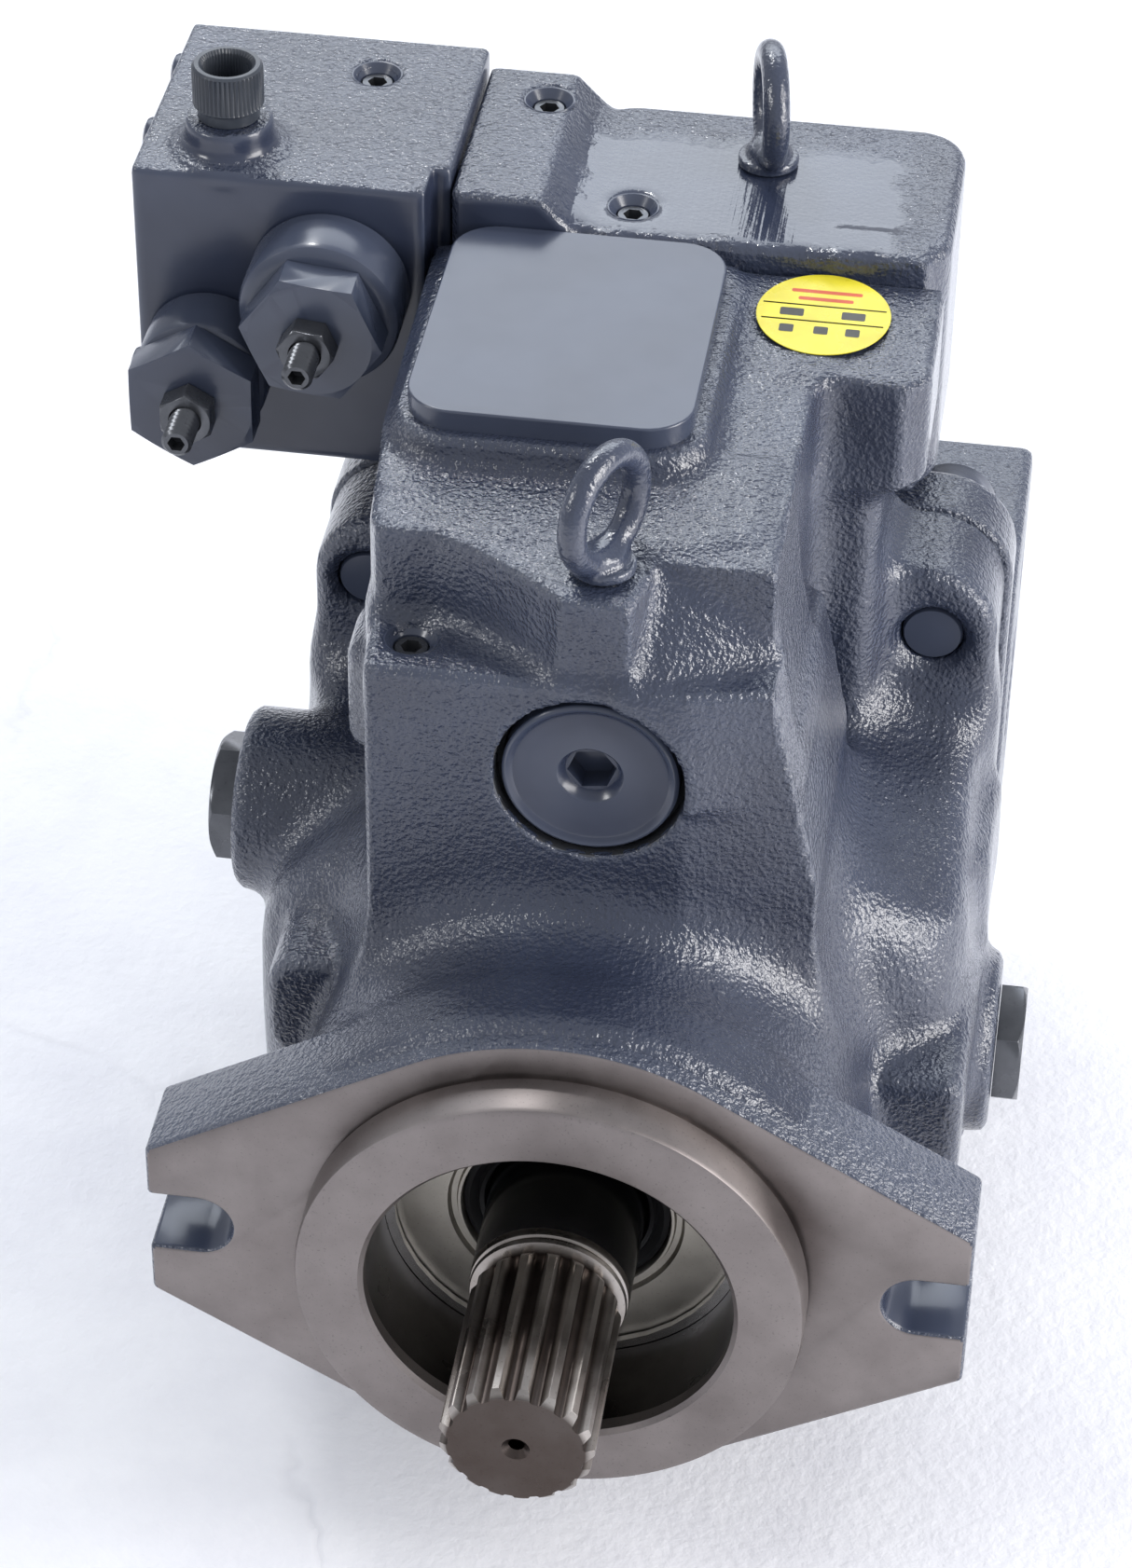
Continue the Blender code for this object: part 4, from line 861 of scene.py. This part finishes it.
def make_seal():
    cover = turned("seal_cover_plate", looped([
        (26.6, 32.5), (45.8, 32.5), (45.8, 20), (45, 19.2), (30.2, 19.2), (29.4, 20.4), (28.0, 20.4),
        (27.6, 19.4), (26.9, 19.4), (26.6, 19.8),
    ]), ORIGIN, steps=128)
    finish(cover, SEAT, slot="machined_steel", nodes=("seal_cover",))
    lip = turned("seal_lip", looped([
        (20.4, 33), (26.2, 33), (26.2, 21.4), (24.8, 20.6), (23.6, 21.6), (22.9, 22.5), (22.2, 21),
        (21.2, 21.4), (20.4, 24),
    ]), ORIGIN)
    finish(lip, RUBBER, slot="black_rubber", nodes=("shaft_seal",))
    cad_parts["retaining_ring"].data.materials.clear()
    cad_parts["retaining_ring"].data.materials.append(RING)


# ---------------------------------------------------------------- hexagons, screws and plugs


def moved(obj, place):
    obj.data.transform(Matrix.Translation(Vector(place) * MM))
    return obj


def hex_nut(name, axis, start, end, flats, turn, place, bore=0.0, chamfer=1.6):
    """A hexagon whose corners are turned to a chamfer at its end, with a bore through it if asked for."""
    nut = outline_solid(name, hexagon(flats, turn), axis, start, end)
    corner = flats / math.sqrt(3)
    sign = 1 if end > start else -1
    trim = turned("trim", [
        (0, start - sign), (corner + 1, start - sign), (corner + 1, end - sign * chamfer * 1.4),
        (flats / 2, end), (0, end),
    ], ORIGIN, axis)
    boolean(nut, "INTERSECT", trim)
    if bore:
        low = min(start, end) - 5
        high = low + abs(end - start) + 10
        drill = turned("bore", [(0, low), (bore, low), (bore, high), (0, high)], ORIGIN, axis, 48)
        boolean(nut, "DIFFERENCE", drill)
    return crease(bevelled(moved(nut, place), 0.3), 20)


def threaded(name, start, end, radius, pitch, place, flats):
    """A set screw along -Y from start to end, with V grooves a pitch apart and a hexagon socket in its end."""
    root = radius - 0.5 * pitch
    profile = [(0, start), (radius, start)]
    turns = int((start - end - 1.2) / pitch)
    for turn in range(turns):
        top = start - 0.6 - turn * pitch
        profile += [(radius, top), (root, top - 0.45 * pitch), (root, top - 0.55 * pitch)]
    profile += [(radius, start - 0.6 - turns * pitch), (root, end), (0, end)]
    screw = turned(name, profile, ORIGIN, steps=48, sharp=25)
    socket = outline_solid("socket", hexagon(flats), "Y", end - 2, end + 4)
    boolean(screw, "DIFFERENCE", socket)
    return crease(moved(screw, place), 25)


def make_adjusters():
    for prefix, (x, z, radius, turn) in ADJUSTERS.items():
        front = BLOCK_FRONT - 0.3
        place = (x, 0, z)
        sleeve = turned(f"{prefix}_sleeve", looped([
            (4.4, front + 3), (11.6, front + 3), (11.6, front), (radius - 0.8, front), (radius, front - 0.9),
            (radius, front - 14.8), (radius - 0.6, front - 16.2), (radius - 2, front - 17.2),
            (radius - 4, front - 17.4), (4.4, front - 17.4),
        ]), place)
        finish(sleeve, SMOOTH, nodes=(f"{prefix}_adjuster_sleeve",))
        turn += 30
        cap = hex_nut(f"{prefix}_cap", "Y", front - 17.7, front - 28, 32, turn, place, 4.4, 0.5)
        finish(cap, SMOOTH, slot="machined_steel", nodes=(f"{prefix}_adjuster_cap",))
        nut = hex_nut(f"{prefix}_nut", "Y", front - 28.3, front - 34.7, 13, turn, place, 4.3, 0.8)
        finish(nut, BLACK_STEEL, slot="machined_steel", body=f"{prefix}_nut", nodes=(f"{prefix}_lock_nut",))
        screw = threaded(f"{prefix}_screw", front + 9, front - 45, 4, 1.7, place, 4)
        node = f"{prefix}_set_screw"
        finish(screw, BLACK_STEEL, slot="machined_steel", body=f"{prefix}_screw", nodes=(node,))


def knurl(count, depth, low, high):
    """The wave for turned() that puts a straight knurl between two distances."""
    def wave(angle, radius, along):
        if not low <= along <= high:
            return radius
        return radius - depth * (0.5 + 0.5 * math.cos(count * angle))
    return wave


def make_cap():
    profile = [
        (0, 14), (6.2, 14), (6.7, 14.5), (6.7, 23), (7.3, 24), (8.4, 24), (9.0, 23.4), (9.15, 23.2),
        (9.2, 22.6), (9.2, 13.6), (9.15, 13.1), (8.9, 12.9), (8.2, 12.5), (8, 12), (8, 9.3), (6, 9.3),
        (6, -5), (0, -5),
    ]
    cap = turned("breather_cap", profile, CAP_PLACE, "Z", 240, knurl(48, 0.45, 13.2, 23.3), 40)
    finish(cap, PLASTIC, slot="dark_plastic", body="cap", nodes=("port_cap",))


def make_eyebolt(name, place, yaw, node):
    """A forged eyebolt: its ring, collar and neck flow together."""
    ring_height, ring_radius, wire_radius = 17.5, 13.5, 3.5
    f = Field((-19, -19, -1), (19, 19, 37), 0.6)
    u = f.x * math.cos(yaw) + f.y * math.sin(yaw)
    v = -f.x * math.sin(yaw) + f.y * math.cos(yaw)
    around = np.sqrt(v * v + (f.z - ring_height) ** 2) - ring_radius
    f.add(np.sqrt(around * around + u * u) - wire_radius)
    f.add(f.rod("Z", (0, 0), 5.2, 0.3, 5.5, 1), 3.0)
    f.add(f.rod("Z", (0, 0), 8, 0.3, 3.0, 0.8), 1.6)
    ring = moved(f.mesh(name), place)
    stud = turned("stud", [(0, -14), (4, -13), (4, 0.6), (0, 0.6)], place, "Z", 24)
    forging = joined(name + "_forging", ring, stud)
    finish(forging, FORGED, slot="machined_steel", nodes=(node,))


def make_drain_plugs():
    drains = (("left", -1, 101.5, LEFT_DRAIN_Z, -9), ("right", 1, 102.3, RIGHT_DRAIN_Z, -13))
    for name, side, face, z, turn in drains:
        start, end, turn = side * face, side * (face + 7), 30 + side * turn
        plug = hex_nut(f"drain_hexagon_{name}", "X", start, end, 30, turn, (0, DRAIN_Y, z), 0, 1.4)
        finish(plug, BLACK_STEEL, slot="machined_steel", nodes=(f"drain_plug_{name}",))


def make_gallery_plugs():
    """The socket plugs on the top, each with the bright edge of its countersink."""
    plug_profile = [(0, -8), (4.3, -8), (4.3, -2.8), (3.9, -2.3), (0, -2.3)]
    seat_profile = looped([(4.35, -3.4), (6.2, -3.4), (6.9, -0.3), (6.7, 0.1), (6.3, 0.0), (4.5, -2.2)])
    seated_in = ("casing", "regulator_body", "regulator_body", "compensator_block")
    for number, (place, body_node) in enumerate(zip(GALLERY_PLUGS, seated_in), 1):
        plug = turned(f"gallery_screw_{number}", plug_profile, place, "Z", 48)
        boolean(plug, "DIFFERENCE", moved(outline_solid("socket", hexagon(4.6), "Z", -6, 2), place))
        finish(crease(plug, 40), BLACK_STEEL, slot="machined_steel", nodes=(f"gallery_plug_{number}",))
        seat = turned(f"gallery_seat_{number}", seat_profile, place, "Z", 64)
        finish(seat, SMOOTH, nodes=(body_node,))


def make_side_plugs():
    profile = [(0, -3.2), (4.2, -3.2), (5.4, -2.6), (5.8, -1.8), (5.8, -0.3), (4, -0.3), (4, 9), (0, 9)]
    for number, (y, z) in enumerate(SIDE_PLUGS, 1):
        plug = turned(f"side_button_{number}", profile, (BLOCK_LEFT, y, z), "X", 48)
        finish(plug, SMOOTH, slot="machined_steel", nodes=(f"side_plug_{number}",))


def make_servo_plug():
    face = 47.8
    place = (0, 0, SERVO_Z)
    plug = turned("servo_plug_face", [
        (0, 61), (21.6, 61), (21.6, face + 0.9), (21.2, face + 0.3), (20.6, face), (20.0, face + 0.2),
        (19.0, face + 1.1), (18.4, face + 1.2), (8.2, face + 1.2), (7.8, face + 1.5), (6.4, face + 4.0),
        (0, face + 4.0),
    ], place, steps=128)
    socket = outline_solid("socket", hexagon(10.6, 8), "Y", 40, 58)
    boolean(plug, "DIFFERENCE", moved(socket, place))
    finish(crease(plug, 30), SMOOTH, slot="machined_steel", nodes=("servo_plug",))
    seat = turned("servo_plug_seat", looped([
        (23.2, 50), (23.6, 47.7), (24.2, 47.4), (24.4, 60), (21.9, 60), (21.9, 54), (23.2, 53),
    ]), place, steps=128)
    finish(seat, BLACK_STEEL, nodes=("casing",))


def make_cover_screws():
    """The cover's four socket screws: their heads are behind it, and their ends show in the casing's ears."""
    head = 206.3
    profile = [
        (0, head + 16), (10.4, head + 16), (11.4, head + 15.4), (12, head + 14.6), (12, head + 1.4),
        (11.6, head + 0.2), (11.2, head), (8, head), (8, 160), (7.4, 159), (0, 158.6),
    ]
    grip = knurl(60, 0.35, head + 1.6, head + 14.5)
    for number, (x, z) in enumerate(COVER_BOLTS, 1):
        screw = turned(f"cover_bolt_{number}", profile, (x, 0, z), "Y", 240, grip, 40)
        socket = outline_solid("socket", hexagon(14), "Y", head + 4, head + 20)
        boolean(screw, "DIFFERENCE", moved(socket, (x, 0, z)))
        finish(crease(screw, 40), SMOOTH, slot="machined_steel", nodes=(f"cover_screw_{number}",))


# ---------------------------------------------------------------- label and inner parts


def make_label():
    """A round yellow label with plain bars where a label has its lines."""
    x, y = 41, 168.5
    deck_rear, deck_rear_height, lift = 187, 178, 0.35
    height = deck_rear_height - DECK_FALL / DECK_RUN * (deck_rear - y) + lift
    tilt = Matrix.Rotation(math.atan(DECK_FALL / DECK_RUN), 4, "X")
    on_deck = Matrix.Translation(Vector((x, y, height)) * MM) @ tilt
    disc = turned("label_disc", [(0, -0.2), (16.9, -0.2), (17, 0), (16.9, 0.1), (0, 0.1)], ORIGIN, "Z")
    disc.data.transform(on_deck)
    finish(disc, YELLOW, slot="yellow_label", nodes=("inspection_label",))
    bars = {
        "label_rule": (LABEL_LINE, [(-9, 8.6, 9, 10.0), (-7, 5.4, 7, 6.8)]),
        "label_bars": (LABEL_MARK, [
            (-15.6, 3.0, 15.6, 3.5), (-15.4, -3.6, 15.4, -3.1), (-11, -1.6, -5, 1.6), (4.6, -1.6, 10.6, 1.6),
            (-10.5, -8.6, -6.9, -5.4), (-1.8, -8.6, 1.8, -5.4), (6.2, -8.6, 9.8, -5.4),
        ]),
    }
    for name, (material, boxes) in bars.items():
        parts = []
        for left, front, right, back in boxes:
            outline = rounded_rectangle(left, right, front, back, 0.5, 3)
            parts.append(outline_solid("bar", outline, "Z", 0.05, 0.13))
        marks = joined(name, *parts)
        marks.data.transform(on_deck)
        finish(marks, material, slot="yellow_label", nodes=("inspection_label",))


def restyle():
    """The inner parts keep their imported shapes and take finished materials."""
    steel = metal("ground_steel", (0.42, 0.41, 0.40), (0.56, 0.55, 0.54), 0.3)
    bronze = metal("bronze", (0.42, 0.27, 0.12), (0.58, 0.40, 0.20), 0.34)
    spring = metal("spring_wire", (0.20, 0.20, 0.21), (0.30, 0.30, 0.31), 0.36)
    finishes = {"machined_steel": steel, "bearing_bronze": bronze, "spring_steel": spring}
    for name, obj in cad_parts.items():
        if obj.hide_render:
            continue
        for slot in obj.material_slots:
            kind = slot.material.name.split(".")[0] if slot.material else ""
            if kind in finishes:
                slot.material = finishes[kind]
            elif name != "retaining_ring":
                slot.material = steel


# ---------------------------------------------------------------- stage, light and camera


def make_stage():
    """The floor, a hair below the part so that the two don't share a surface."""
    half_width, gap = 6.0, 0.0002
    bm = bmesh.new()
    bmesh.ops.create_grid(bm, x_segments=1, y_segments=1, size=half_width)
    bmesh.ops.translate(bm, vec=(0, 0, cad_box[0].z - gap), verts=bm.verts)
    floor = from_bmesh("floor", bm)
    if floor.data.polygons[0].normal.z < 0:
        floor.data.flip_normals()
    floor.data.materials.append(floor_finish())


def area_light(name, place, target, size, power, colour=(1, 1, 1)):
    data = bpy.data.lights.new(name, "AREA")
    data.shape = "RECTANGLE"
    data.size, data.size_y = size
    data.energy = power
    data.color = colour
    obj = bpy.data.objects.new(name, data)
    obj.location = place
    obj.rotation_euler = (Vector(target) - Vector(place)).to_track_quat("-Z", "Y").to_euler()
    bpy.context.scene.collection.objects.link(obj)


def make_lights():
    """A large cool light behind, a warm one at the right, and two small ones at the left for the highlights."""
    world = bpy.data.worlds.new("studio")
    bpy.context.scene.world = world
    world.use_nodes = True
    background = world.node_tree.nodes["Background"]
    background.inputs["Color"].default_value = (0.90, 0.93, 1.0, 1)
    background.inputs["Strength"].default_value = 0.60
    middle = (0, 0.12, 0.05)
    area_light("back", (-0.3, 1.9, 1.6), middle, (2.6, 1.5), 33, (0.86, 0.92, 1.0))
    area_light("left", (-1.2, -0.5, 0.9), middle, (0.3, 0.4), 5)
    area_light("spark", (-0.5, 0.9, 1.5), middle, (0.12, 0.12), 5)
    area_light("right", (1.3, -0.15, 0.6), middle, (0.7, 1.1), 24, (1.0, 0.98, 0.97))


# Fitted to the photo: angles in degrees, places in metres, lens in millimetres
CAMERA_AZIMUTH = 7.916
CAMERA_ELEVATION = 38.69
CAMERA_ROLL = 0.935
CAMERA_TARGET = (-0.0165, 0.1254, 0.0523)
CAMERA_DISTANCE = 1.1759
CAMERA_LENS = 102.59
SENSOR_WIDTH = 36
NEAREST = 0.05


def make_camera():
    data = bpy.data.cameras.new("camera")
    data.lens = CAMERA_LENS
    data.sensor_width = SENSOR_WIDTH
    data.clip_start = NEAREST
    obj = bpy.data.objects.new("camera", data)
    azimuth, elevation = math.radians(CAMERA_AZIMUTH), math.radians(CAMERA_ELEVATION)
    level = math.cos(elevation)
    back = Vector((math.sin(azimuth) * level, -math.cos(azimuth) * level, math.sin(elevation)))
    upright = (-back).to_track_quat("-Z", "Y")
    obj.rotation_mode = "QUATERNION"
    obj.rotation_quaternion = Quaternion(back, math.radians(CAMERA_ROLL)) @ upright
    obj.location = Vector(CAMERA_TARGET) + back * CAMERA_DISTANCE
    bpy.context.scene.collection.objects.link(obj)
    bpy.context.scene.camera = obj
    bpy.context.scene.view_settings.view_transform = "Standard"


make_flange()
make_casting()
make_cover()
make_regulator()
make_block()
make_shaft()
make_seal()
make_adjusters()
make_cap()
make_eyebolt("front_eye", FRONT_EYE, math.radians(-26), "eyebolt_front")
make_eyebolt("rear_eye", REAR_EYE, math.radians(12), "eyebolt_rear")
make_drain_plugs()
make_gallery_plugs()
make_side_plugs()
make_servo_plug()
make_cover_screws()
make_label()
restyle()
make_stage()
make_lights()
make_camera()
